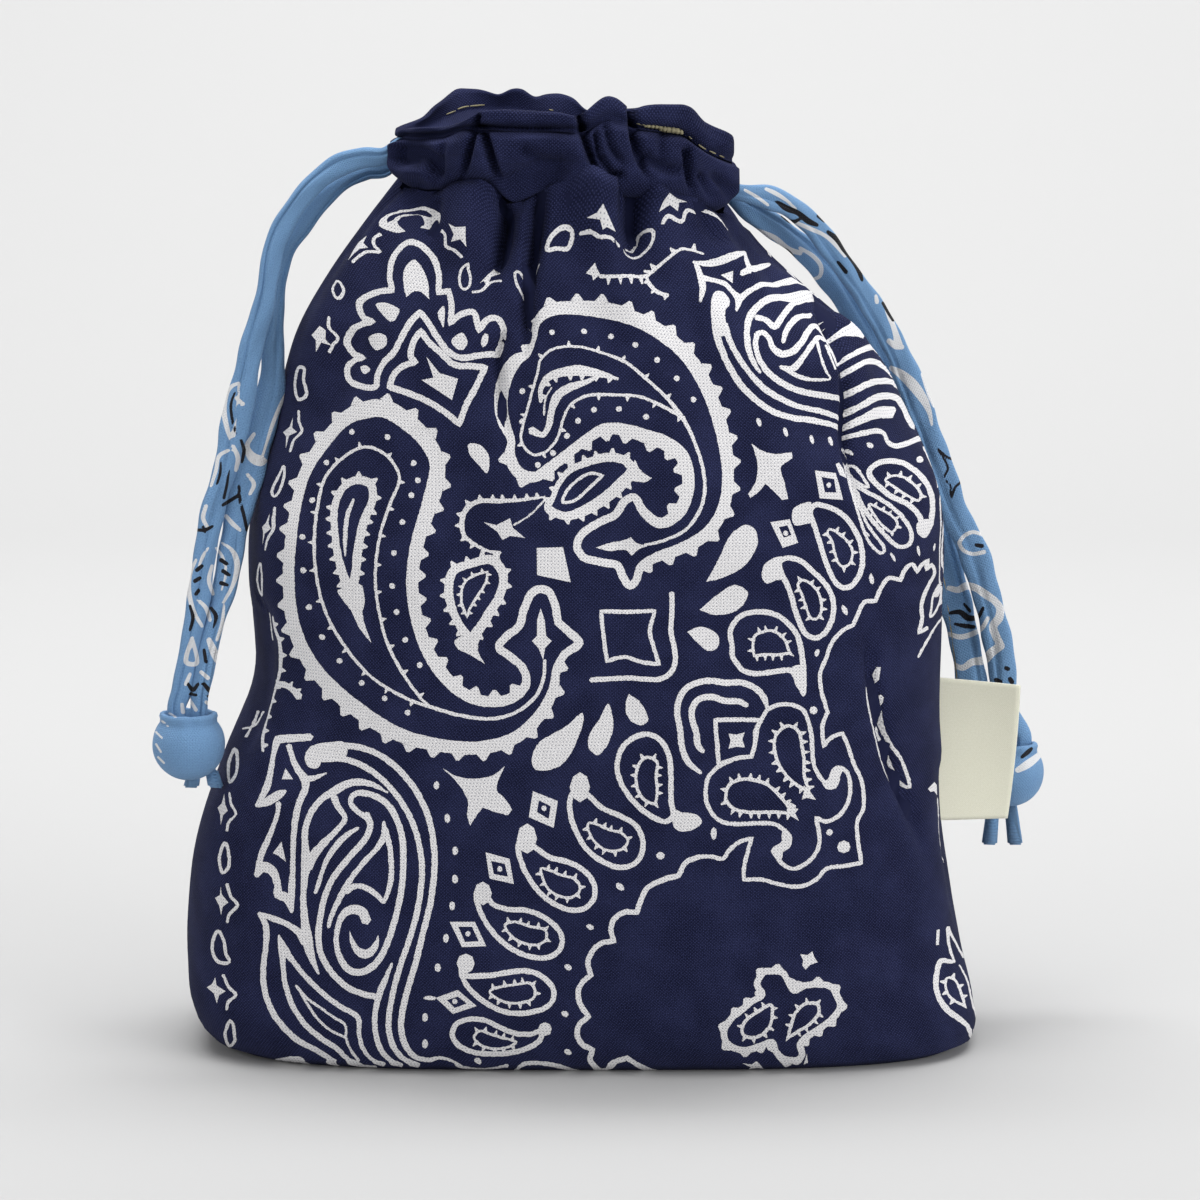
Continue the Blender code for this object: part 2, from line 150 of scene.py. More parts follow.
def smooth_run(points, closed=False, width=4.0, step=2.6):
    """Sample a smooth curve through points; a point given twice in a row is a sharp corner.

    Each sample holds x, y, line width and the number of the point it comes after."""
    run = np.array([(p[0], p[1], p[2] if len(p) > 2 else width, n) for n, p in enumerate(points)], float)
    before, after = np.roll(run, 1, axis=0), np.roll(run, -1, axis=0)
    back = np.linalg.norm((run - before)[:, :2], axis=1)
    ahead = np.linalg.norm((after - run)[:, :2], axis=1)
    if not closed:
        back[0] = ahead[-1] = 0.0
    start = np.where(back[:, None] > 0, before, run)
    end = np.where(ahead[:, None] > 0, after, run)
    slopes = (end - start) / np.maximum(back + ahead, 1e-6)[:, None]
    found = []
    for index in np.flatnonzero(ahead > 0):
        length = ahead[index]
        count = max(1, int(round(length / step)))
        t = np.arange(count)[:, None] / count
        arrive = slopes[(index + 1) % len(run)]
        sample = curve_between(t, run[index], after[index], slopes[index], arrive, length)
        sample[:, 3] = run[index, 3] + t[:, 0]
        found.append(sample)
    if not closed:
        found.append(run[-1:])
    return np.vstack(found)


def sideways(line, closed):
    """Unit steps along and beside a sampled line; beside points out of a closed one."""
    place = line[:, :2]
    if closed:
        along = np.roll(place, -1, axis=0) - np.roll(place, 1, axis=0)
    else:
        along = np.gradient(place, axis=0)
    along /= np.maximum(np.linalg.norm(along, axis=1, keepdims=True), 1e-6)
    beside = np.stack((along[:, 1], -along[:, 0]), axis=1)
    after = np.roll(place, -1, axis=0)
    if closed and (place[:, 0] * after[:, 1] - after[:, 0] * place[:, 1]).sum() < 0:
        beside = -beside
    return along, beside


def pairs(numbers):
    """Points from a flat list of pixels across and down."""
    return np.reshape(numbers, (-1, 2))


def triples(numbers):
    """Points from a flat list of pixels across and down and a width."""
    return np.reshape(numbers, (-1, 3))


def stroke(points, width=4.0, closed=False):
    """Paint a line of one width along pairs."""
    return paint_line(smooth_run(pairs(points), closed, width), closed)


def brush(points, closed=False):
    """Paint a line of varying width along triples."""
    return paint_line(smooth_run(triples(points), closed), closed)


def paint_line(line, closed):
    """Paint a sampled line; a closed one is filled with the ground's colour."""
    along, beside = sideways(line, closed)
    half = line[:, 2:3] * 0.44
    one, two = line[:, :2] + beside * half, line[:, :2] - beside * half
    if closed:
        paint(one)
        paint(two, 0)
    else:
        tip = line[-1:, :2] + along[-1:] * half[-1] * 0.7
        tail = line[:1, :2] - along[:1] * half[0] * 0.7
        paint(np.vstack((one, tip, two[::-1], tail)))
    return line


def fill(points, colour=1):
    """Paint a smooth closed outline."""
    paint(smooth_run(pairs(points), True), colour)


def flat(*corners, colour=1):
    """Paint a straight-sided shape."""
    paint(pairs(corners), colour)


def teeth(line, closed=True, gap=9.0, height=4.5, base=5.5, side=1.0, bare=()):
    """Small teeth beside a sampled line, left out between the numbered points in bare."""
    along, beside = sideways(line, closed)
    place = line[:, :2]
    lengths = running_length(place)
    count = max(1, int(lengths[-1] / gap))
    for number in range(count):
        index = int(np.searchsorted(lengths, lengths[-1] * (number + 0.5) / count))
        index = min(index, len(line) - 1)
        if any(first <= line[index, 3] <= last for first, last in bare):
            continue
        foot = place[index] + beside[index] * side * (line[index, 2] / 2 - 1.2)
        out = beside[index] * side * (height + 1.2)
        step = along[index] * base / 2
        paint((foot - step, foot + out - step * 0.22, foot + out + step * 0.22, foot + step))


def ring(points, width=3.2, gap=9.0, height=4.0, base=4.6, bare=()):
    """A closed line with teeth round its outside."""
    line = stroke(points, width, True)
    teeth(line, True, gap, height, base, 1.0, bare)


def spot(x, y, across=4.0, down=4.0, lean=0.0):
    """A small oval spot, leaning clockwise by an angle in degrees."""
    turn = np.linspace(0, 2 * math.pi, 9)[:-1]
    one, two = np.cos(turn) * across, np.sin(turn) * down
    cosine, sine = math.cos(math.radians(lean)), math.sin(math.radians(lean))
    paint(np.stack((x + one * cosine - two * sine, y + one * sine + two * cosine), axis=1))


def spots(radius, *places):
    for place in pairs(places):
        spot(*place, radius, radius)


def diamond(outer, inner, middle):
    """A white frame with a spot in it."""
    flat(*outer)
    flat(*inner, colour=0)
    spot(*middle, 2.6, 2.8)


def collar_motifs():
    """Small ovals, stars and the toothed vine below the neck."""
    fill((383, 228, 385, 222, 400, 210, 415, 203, 425, 201, 435, 206, 440, 213, 437, 221, 428, 227,
        420, 227, 420, 227, 424, 221, 421, 213, 412, 212, 402, 216, 398, 223, 405, 230, 405, 230, 398, 232,
        388, 231))
    fill((390, 224, 392, 218, 402, 211, 415, 206, 424, 206, 431, 212, 428, 214, 415, 211, 403, 213,
        394, 221), 0)
    flat(371, 239, 361, 244, 356, 253, 352, 263, 358, 257, 364, 252, 371, 250, 368, 246)
    stroke((383, 236, 377, 241, 377, 248, 381, 252, 370, 254, 362, 260, 357, 265), 3)
    flat(450, 225, 458, 230, 469, 230, 468, 238, 468, 249, 463, 242, 452, 243, 456, 236)
    stroke((438, 228, 445, 234, 446, 246, 455, 251, 463, 258), 3.5)
    stroke((469, 265, 462, 270, 460, 283, 464, 290, 470, 287, 471, 278, 469, 270), 3, True)
    flat(492, 266, 499, 270, 490, 275, 487, 287, 484, 281, 480, 284, 487, 274)
    stroke((473, 293, 482, 291, 488, 284, 493, 280, 501, 280), 3)
    stroke((525, 280, 520, 272, 515, 273, 516, 282, 521, 291, 525, 298), 3)
    stroke((524, 290, 530, 285, 532, 273, 539, 262), 2.5)
    stroke((528, 279, 531, 268, 536, 258), 2)
    stroke((547, 247, 550, 239, 558, 231, 566, 229, 572, 233, 572, 240, 567, 248, 558, 248, 547, 250), 5,
        True)
    flat(586, 227, 595, 225, 600, 220, 606, 227, 614, 236, 605, 234, 601, 236, 598, 229)
    stroke((580, 236, 589, 236, 599, 241, 609, 241, 619, 247), 3.5)
    stroke((625, 248, 633, 248, 639, 242, 642, 235, 648, 233, 653, 236, 652, 244, 645, 251, 636, 256,
        627, 254), 3, True)
    flat(656, 223, 659, 216, 662, 208, 672, 209, 683, 209, 676, 212, 675, 219, 666, 217)
    stroke((660, 230, 665, 225, 680, 226, 684, 217, 693, 215), 4)
    brush((694, 207, 4, 700, 211, 4, 711, 217, 2.5, 726, 227, 1.5))
    flat(586, 273, 595, 263, 597, 270, 600, 275, 593, 280, 592, 275)
    line = brush((600, 277, 4, 614, 278, 4, 628, 277, 4, 646, 275, 4, 658, 266, 4, 670, 257, 3.5,
        680, 250, 3.5, 692, 249, 3, 705, 252, 2))
    teeth(line, False, 11, 6, 5, -1.0, ((3.2, 9), ))
    teeth(line, False, 22, 5, 6, 1.0, ((0, 3.5), ))
    line = brush((647, 275, 4, 650, 283, 5, 659, 291, 5, 669, 294, 4))
    teeth(line, False, 9, 3, 5, -1.0)
    stroke((645, 270, 655, 270), 3)
    stroke((340, 283, 336, 291, 340, 300, 346, 293, 344, 285, 340, 283), 3, True)
    flat(322, 327, 327, 331, 326, 340, 330, 345, 322, 343, 317, 352, 318, 341, 314, 336)
    stroke((331, 318, 330, 328, 336, 337, 331, 345, 328, 352), 3)


def spade_flower():
    """The pointed flower at the upper left, with a small one nested in it."""
    stroke((376, 387, 360, 386, 346, 379, 343, 367, 350, 359, 361, 357, 361, 357, 349, 352, 343, 340,
        350, 328, 362, 322, 372, 321, 372, 321, 361, 316, 358, 303, 367, 295, 380, 291, 393, 291, 393, 291,
        390, 276, 393, 258, 402, 246, 410, 242, 422, 246, 433, 258, 438, 275, 438, 292, 438, 292, 449, 291,
        449, 291, 452, 306, 451, 324, 451, 324, 460, 316, 474, 313, 479, 331, 479, 331, 487, 320, 497, 318,
        503, 328, 500, 342, 496, 353, 496, 353, 480, 355, 462, 358, 449, 352, 438, 338, 428, 322, 420, 312,
        420, 312, 411, 322, 402, 338, 394, 353, 384, 363, 378, 376), 7, True)
    fill((414, 260, 406, 268, 404, 282, 407, 298, 407, 298, 412, 293, 418, 291, 424, 294, 429, 299,
        429, 299, 427, 280, 421, 266))
    fill((375, 304, 386, 303, 400, 310, 396, 320, 391, 322, 384, 316))
    fill((366, 337, 376, 333, 386, 336, 387, 345, 377, 350, 370, 345))
    fill((358, 366, 365, 365, 370, 369, 365, 374, 360, 371))
    fill((444, 306, 438, 313, 441, 322, 444, 328, 445, 316))
    fill((452, 341, 463, 333, 468, 342, 464, 350, 457, 349))
    fill((485, 333, 488, 334, 487, 343, 483, 347, 481, 342))
    stroke((421, 331, 421, 331, 414, 342, 411, 356, 416, 362, 416, 362, 404, 366, 395, 374, 390, 387,
        390, 387, 405, 392, 425, 400, 445, 412, 459, 424, 459, 424, 466, 405, 475, 388, 485, 367, 485, 367,
        470, 366, 455, 365, 440, 352, 430, 343), 7, True)
    flat(427, 357, 440, 373, 458, 379, 452, 400, 422, 380, 434, 378)


def left_border():
    """Ovals and stars down the left edge, with the toothed branch."""
    stroke((297, 368, 292, 385, 296, 399, 305, 394, 303, 380, 304, 368), 4, True)
    flat(289, 417, 289, 427, 294, 431, 286, 435, 283, 448, 283, 436, 279, 431, 286, 426)
    stroke((296, 410, 296, 421, 299, 430, 291, 440, 288, 451), 3)
    stroke((283, 466, 278, 478, 273, 492, 276, 497, 281, 490, 284, 476), 3, True)
    flat(272, 514, 271, 524, 273, 529, 267, 534, 264, 545, 265, 533, 264, 527, 268, 523)
    brush((277, 508, 3, 276, 520, 4, 276, 529, 4, 270, 539, 3, 267, 550, 2))
    stroke((260, 563, 256, 578, 259, 596, 262, 580), 2.5, True)
    stroke((259, 607, 263, 641), 2)
    line = brush((271, 617, 4, 273, 628, 6, 279, 640, 5, 280, 655, 6, 278, 672, 5, 272, 688, 5, 267, 702, 5,
        263, 718, 4, 261, 735, 5, 263, 751, 3))
    teeth(line, False, 14, 4, 6, 1.0)
    line = brush((270, 688, 4, 280, 684, 7, 290, 689, 6, 297, 697, 8))
    teeth(line, False, 9, 3.5, 5, 1.0)
    stroke((248, 708, 245, 720, 240, 735), 2)
    stroke((252, 708, 246, 722, 238, 727), 2)
    for tall, across, down in ((17, 232, 765), (15, 226, 858), (13, 231, 1033)):
        stroke((across, down - tall, across - 5, down, across - 2, down + tall, across + 4, down + 8, across
            + 3, down - 9), 3.5, True)
    stroke((217, 931, 211, 943, 213, 957, 220, 963, 229, 962, 225, 954, 223, 941), 4, True)
    flat(224, 794, 226, 805, 229, 811, 224, 815, 222, 825, 221, 814, 218, 808, 222, 803)
    stroke((230, 793, 232, 804, 237, 814, 230, 822, 228, 831), 3)
    flat(222, 886, 223, 894, 229, 902, 223, 907, 221, 915, 220, 906, 216, 898, 221, 895)
    stroke((228, 884, 232, 897, 238, 905, 230, 914, 227, 922), 3.5)
    flat(215, 977, 217, 985, 226, 991, 220, 995, 218, 1003, 215, 993, 208, 987, 213, 984)
    stroke((223, 975, 229, 987, 236, 995, 229, 1002, 228, 1009), 3.5)
    fill((273, 1061, 273, 1061, 285, 1057, 301, 1057, 311, 1063, 310, 1066, 292, 1064))


def left_paisley():
    """The large paisley at the left with its hook, barbed line, eyes and tulip."""
    line = brush((372, 409, 20, 345, 418, 18, 322, 440, 16, 305, 470, 13, 298, 500, 11, 293, 540, 12,
        291, 580, 13, 294, 620, 14, 305, 655, 16, 325, 683, 17, 358, 710, 18, 400, 734, 16, 440, 745, 15,
        480, 748, 15, 515, 738, 14, 540, 715, 13, 553, 690, 11, 557, 668, 9, 565, 654, 9, 579, 643, 10,
        568, 631, 9, 558, 622, 9, 558, 622, 9, 555, 605, 9, 549, 592, 9, 540, 589, 9, 531, 594, 9,
        524, 610, 9, 519, 626, 9, 506, 637, 9, 499, 647, 9, 510, 656, 9, 523, 668, 9, 526, 684, 10,
        512, 698, 12, 490, 702, 12, 468, 696, 13, 448, 680, 14, 430, 655, 14, 419, 628, 14, 413, 598, 14,
        413, 570, 14, 418, 540, 15, 427, 510, 17, 434, 485, 19, 436, 462, 17, 424, 438, 18, 405, 420, 20,
        388, 410, 20), True)
    teeth(line, True, 24, 6, 14, 1.0, ((17.2, 33.5), ))
    line = stroke((430, 706, 400, 694, 370, 675, 345, 647, 327, 615, 318, 580, 315, 545, 317, 510, 324, 478,
        342, 458, 366, 447, 386, 455, 399, 477, 390, 503, 380, 535, 375, 575, 378, 610, 388, 645, 405, 675,
        422, 698), 3.5, True)
    teeth(line, True, 28, 4, 5, 1.0)
    stroke((430, 706, 460, 715, 490, 719, 515, 713, 535, 697, 543, 680, 545, 660), 4)
    flat(541, 608, 545, 620, 546, 636, 552, 641, 545, 648, 543, 660, 539, 648, 532, 641, 537, 636, 537, 620)
    spots(3, 352, 432, 388, 437, 325, 462, 312, 500, 304, 537, 305, 570, 310, 607, 322, 637, 339, 661,
        362, 683, 386, 698, 409, 712)
    spots(3, 413, 463, 417, 480, 411, 495, 402, 522, 394, 553, 392, 586, 396, 612, 405, 640, 420, 665)
    line = brush((350, 590, 12, 340, 565, 9, 335, 535, 8, 334, 508, 8, 342, 488, 8, 356, 480, 9,
        370, 484, 10, 372, 500, 9, 364, 520, 10, 358, 548, 10, 355, 575, 10), True)
    teeth(line, True, 13, 4, 7)
    fill((338, 590, 360, 585, 364, 600, 362, 615, 371, 643, 371, 643, 360, 630, 350, 610, 341, 598))
    brush((353, 499, 3, 347, 515, 5, 345, 535, 5, 345, 556, 2))
    line = brush((470, 637, 10, 456, 618, 9, 449, 595, 10, 452, 572, 10, 470, 564, 9, 492, 560, 11,
        503, 575, 10, 500, 595, 10, 490, 612, 11, 480, 628, 11), True)
    teeth(line, True, 13, 4, 7)
    fill((455, 640, 480, 632, 478, 650, 485, 664, 485, 664, 470, 655, 457, 648))
    ring((467, 617, 467, 617, 461, 600, 464, 583, 475, 575, 487, 572, 487, 572, 486, 582, 478, 595,
        470, 608), 3, 8, 3, 4)
    line = brush((545, 497, 2, 520, 500, 4, 500, 501, 5, 480, 501, 5, 467, 507, 6, 461, 520, 6, 463, 535, 5,
        475, 545, 4, 488, 551, 3, 500, 553, 4))
    teeth(line, False, 11, 4, 6, -1.0)
    flat(483, 522, 496, 525, 510, 518, 513, 528, 525, 538, 510, 536, 502, 540, 497, 532)
    stroke((545, 500, 530, 515, 514, 525), 2)
    fill((468, 444, 480, 445, 489, 457, 487, 473, 478, 464, 470, 455))
    flat(537, 548, 563, 547, 571, 582, 537, 575)


def right_paisley():
    """The large paisley at the upper right of the middle, with its hook and tulip."""
    line = brush((534, 338, 6, 537, 322, 10, 550, 311, 14, 575, 307, 16, 605, 310, 18, 635, 320, 16,
        660, 332, 18, 683, 350, 16, 700, 372, 16, 713, 400, 15, 722, 430, 15, 727, 460, 14, 727, 490, 13,
        720, 515, 13, 705, 535, 14, 680, 549, 13, 655, 558, 11, 641, 567, 9, 636, 581, 9, 630, 586, 9,
        623, 577, 9, 618, 566, 9, 600, 562, 9, 583, 557, 9, 577, 545, 9, 583, 533, 9, 600, 522, 9,
        616, 514, 9, 624, 502, 9, 634, 497, 9, 644, 512, 10, 660, 523, 12, 676, 515, 14, 686, 497, 14,
        688, 475, 14, 681, 455, 15, 665, 443, 16, 645, 436, 15, 625, 430, 14, 605, 429, 13, 588, 438, 11,
        570, 452, 11, 552, 466, 12, 535, 477, 12, 518, 472, 13, 510, 455, 12, 511, 440, 9, 503, 420, 14,
        500, 398, 16, 505, 375, 18, 516, 360, 14, 528, 352, 8), True)
    teeth(line, True, 24, 6, 14, 1.0, ((17, 32), (45.5, 51)))
    line = brush((538, 372, 3, 541, 360, 3, 553, 350, 3, 577, 347, 3, 600, 352, 3, 625, 362, 3.5,
        645, 378, 3.5, 665, 396, 4, 683, 417, 5, 683, 417, 5, 660, 405, 3.5, 640, 397, 3.5, 612, 395, 3.5,
        588, 396, 3.5, 571, 405, 3, 563, 420, 3, 558, 437, 3, 548, 450, 3, 535, 455, 3, 525, 448, 3,
        521, 436, 3, 530, 400, 3), True)
    teeth(line, True, 28, 4, 5)
    brush((683, 417, 5, 694, 440, 4, 703, 470, 4, 704, 495, 4, 697, 515, 4, 685, 530, 3.5, 665, 540, 3.5,
        645, 545, 3))
    fill((596, 548, 596, 548, 610, 543, 625, 540, 631, 537, 631, 537, 637, 543, 648, 546, 648, 546,
        638, 550, 632, 556, 632, 556, 625, 550, 610, 551))
    spots(3, 552, 333, 584, 331, 611, 336, 635, 345, 657, 360, 677, 378, 694, 399, 522, 391, 522, 421,
        567, 436, 578, 421, 594, 410, 619, 409, 646, 417, 553, 453, 538, 465)
    line = brush((618, 379, 3, 600, 374, 8, 580, 371, 12, 562, 373, 10, 548, 378, 8, 541, 390, 6,
        541, 402, 4))
    teeth(line, False, 13, 4, 6, 1.0)
    brush((595, 378, 4, 585, 383, 6, 570, 388, 9, 558, 396, 10, 552, 410, 8, 549, 425, 7, 543, 435, 6,
        531, 430, 9))
    stroke((552, 388, 546, 398, 544, 415), 2)
    line = brush((548, 508, 9, 565, 516, 9, 585, 510, 12, 605, 498, 13, 622, 483, 14, 632, 470, 12,
        625, 460, 10, 607, 457, 10, 588, 462, 8, 570, 470, 7, 559, 483, 6, 553, 497, 6), True)
    teeth(line, True, 13, 4, 7)
    fill((635, 460, 640, 470, 652, 478, 652, 478, 645, 482, 630, 478))
    stroke((563, 502, 575, 500, 590, 487, 603, 475, 603, 475, 590, 473, 577, 480, 566, 492), 3.5, True)
    fill((706, 582, 706, 582, 718, 560, 730, 535, 745, 525, 755, 530, 757, 545, 745, 565, 725, 577))
    fill((700, 610, 700, 610, 715, 597, 735, 585, 748, 592, 746, 602, 735, 612, 715, 615))


def middle_motifs():
    """The notched square, its bracket, drops, swirl and the D-shaped motif."""
    stroke((601, 611, 601, 611, 628, 612, 655, 611, 655, 611, 650, 631, 654, 648, 659, 664, 659, 664,
        641, 662, 625, 657, 607, 661, 607, 661, 604, 640), 4.6, True)
    stroke((672, 593, 672, 612, 671, 632, 674, 647, 675, 662, 670, 673, 659, 679, 644, 679, 629, 678,
        591, 680), 5.8)
    fill((608, 704, 613, 720, 612, 734, 606, 747, 598, 755, 590, 750, 588, 741, 591, 731, 599, 720))
    fill((629, 694, 629, 694, 639, 701, 645, 710, 648, 721, 640, 725, 631, 721, 626, 712, 626, 702))
    fill((687, 632, 687, 632, 699, 627, 710, 629, 719, 636, 720, 644, 716, 650, 708, 651, 699, 644,
        692, 637))
    fill((582, 713, 583, 723, 578, 738, 570, 755, 560, 766, 548, 770, 536, 770, 532, 763, 533, 753,
        540, 742, 553, 734, 568, 725))
    brush((804, 692, 4, 804, 671, 6, 802, 653, 6, 798, 636, 6, 790, 625, 6, 777, 615, 6, 760, 612, 6,
        744, 615, 6, 735, 623, 6, 731, 634, 6, 733, 645, 6, 733, 656, 6, 738, 664, 6, 744, 671, 6,
        755, 674, 6, 768, 673, 6, 781, 671, 6, 792, 671, 6, 800, 688, 5), True)
    fill((792, 668, 804, 666, 806, 692, 803, 697, 799, 690, 796, 678))
    ring((754, 645, 756, 636, 764, 632, 773, 631, 781, 635, 787, 643, 790, 653, 790, 653, 779, 655,
        766, 655, 755, 656, 755, 656), 3.4, 8, 4, 4)
    brush((768, 708, 4, 764, 697, 7, 755, 688, 7, 742, 683, 7, 725, 683, 7, 712, 681, 7, 699, 682, 7,
        686, 688, 7, 679, 699, 7, 677, 712, 7, 680, 730, 7, 682, 747, 7, 688, 762, 7, 701, 773, 4))
    brush((748, 706, 5, 740, 702, 7, 725, 701, 7, 712, 697, 7, 699, 699, 7, 692, 708, 7, 692, 719, 7,
        696, 732, 7, 698, 745, 7, 703, 752, 5))
    stroke((715, 720, 715, 720, 738, 720, 762, 721, 762, 721, 756, 732, 756, 743, 752, 757, 752, 757,
        736, 759, 719, 765, 719, 765, 717, 742), 5, True)
    flat(729, 734, 737, 735, 745, 733, 743, 740, 745, 748, 737, 747, 729, 749, 731, 741)


def twin_paisleys():
    """Two paisleys that share a curled frame, at the right of the middle."""
    stroke((768, 710, 768, 710, 779, 705, 792, 705, 803, 710, 808, 721, 811, 734, 812, 749, 813, 762,
        817, 773, 824, 782, 831, 785, 836, 778, 838, 768, 846, 771, 850, 782, 850, 795, 845, 808, 836, 817,
        825, 821, 815, 817, 815, 817, 818, 830, 819, 843, 815, 854, 807, 863, 794, 869, 784, 865, 777, 857,
        777, 849, 786, 843, 789, 836, 784, 830, 775, 824, 762, 823, 742, 824, 725, 823, 714, 816, 707, 803,
        706, 790, 709, 777, 718, 767, 718, 767, 736, 759, 752, 757, 752, 757, 756, 743, 759, 727), 4.8,
        True)
    fill((822, 781, 827, 779, 830, 772, 833, 767, 838, 765, 843, 770, 840, 775, 839, 782, 835, 788,
        828, 789, 823, 786))
    fill((782, 831, 789, 832, 792, 839, 789, 848, 783, 852, 782, 859, 776, 858, 771, 851, 774, 846,
        781, 842))
    ring((789, 726, 799, 732, 802, 745, 804, 760, 804, 775, 808, 790, 808, 790, 797, 785, 786, 775,
        778, 762, 775, 745, 778, 734), 3.6, 9, 4.5, 5)
    flat(803, 785, 809, 791, 815, 799, 806, 797, 801, 799, 803, 792)
    ring((726, 796, 729, 786, 740, 780, 753, 780, 766, 784, 777, 793, 787, 805, 793, 814, 793, 814,
        781, 812, 764, 812, 746, 812, 734, 809, 727, 802), 3.8, 9, 4.5, 5)
    flat(787, 801, 795, 805, 794, 812, 798, 820, 786, 813)


def scalloped_frame():
    """The lobed line round the middle motifs."""
    brush((700, 857, 6, 686, 863, 6, 679, 876, 6, 679, 876, 6, 664, 880, 6, 648, 888, 6, 641, 900, 6,
        637, 912, 6, 637, 912, 6, 624, 912, 6, 614, 919, 6, 611, 930, 6, 614, 941, 6, 614, 941, 6,
        602, 943, 6, 593, 951, 6, 588, 963, 6, 591, 976, 6, 591, 976, 6, 583, 983, 6, 578, 993, 6,
        581, 1006, 6, 589, 1017, 6, 589, 1017, 6, 580, 1024, 6, 577, 1034, 6, 582, 1044, 6, 593, 1050, 6,
        593, 1050, 6, 590, 1059, 6, 596, 1068, 6, 604, 1070, 6, 614, 1062, 6, 627, 1058, 6, 627, 1058, 6,
        640, 1066, 5, 655, 1071, 4, 672, 1075, 4))
    stroke((700, 857, 712, 857, 723, 859, 729, 851, 738, 843, 752, 838, 752, 838, 748, 851, 744, 869,
        744, 880, 744, 880, 762, 880, 777, 884, 792, 887, 805, 886, 818, 879, 827, 869, 846, 866, 862, 863,
        862, 863, 858, 838, 858, 821, 864, 810, 865, 799, 862, 780, 854, 764, 848, 747, 842, 733, 842, 733,
        831, 737, 823, 746, 823, 746, 822, 725, 827, 712, 827, 712, 821, 690, 820, 673, 826, 658, 831, 643,
        842, 630, 852, 625, 852, 625, 858, 612, 864, 602, 875, 601, 875, 601, 881, 588, 889, 578, 900, 580,
        900, 580, 904, 570, 911, 564, 916, 572, 916, 572, 920, 565, 927, 560, 927, 560, 925, 569, 931, 565,
        935, 573, 930, 582, 924, 594, 921, 605, 922, 619, 919, 633, 919, 633, 928, 628), 4.6)
    brush((919, 657, 3, 928, 641, 3, 938, 625, 2.5, 950, 612, 2))
    stroke((934, 596, 942, 586, 944, 598, 938, 610, 931, 617, 932, 608), 3, True)
    fill((933, 596, 941, 584, 944, 590, 940, 597))
    stroke((516, 1070, 523, 1064, 540, 1063, 560, 1066, 580, 1072, 600, 1076), 4)


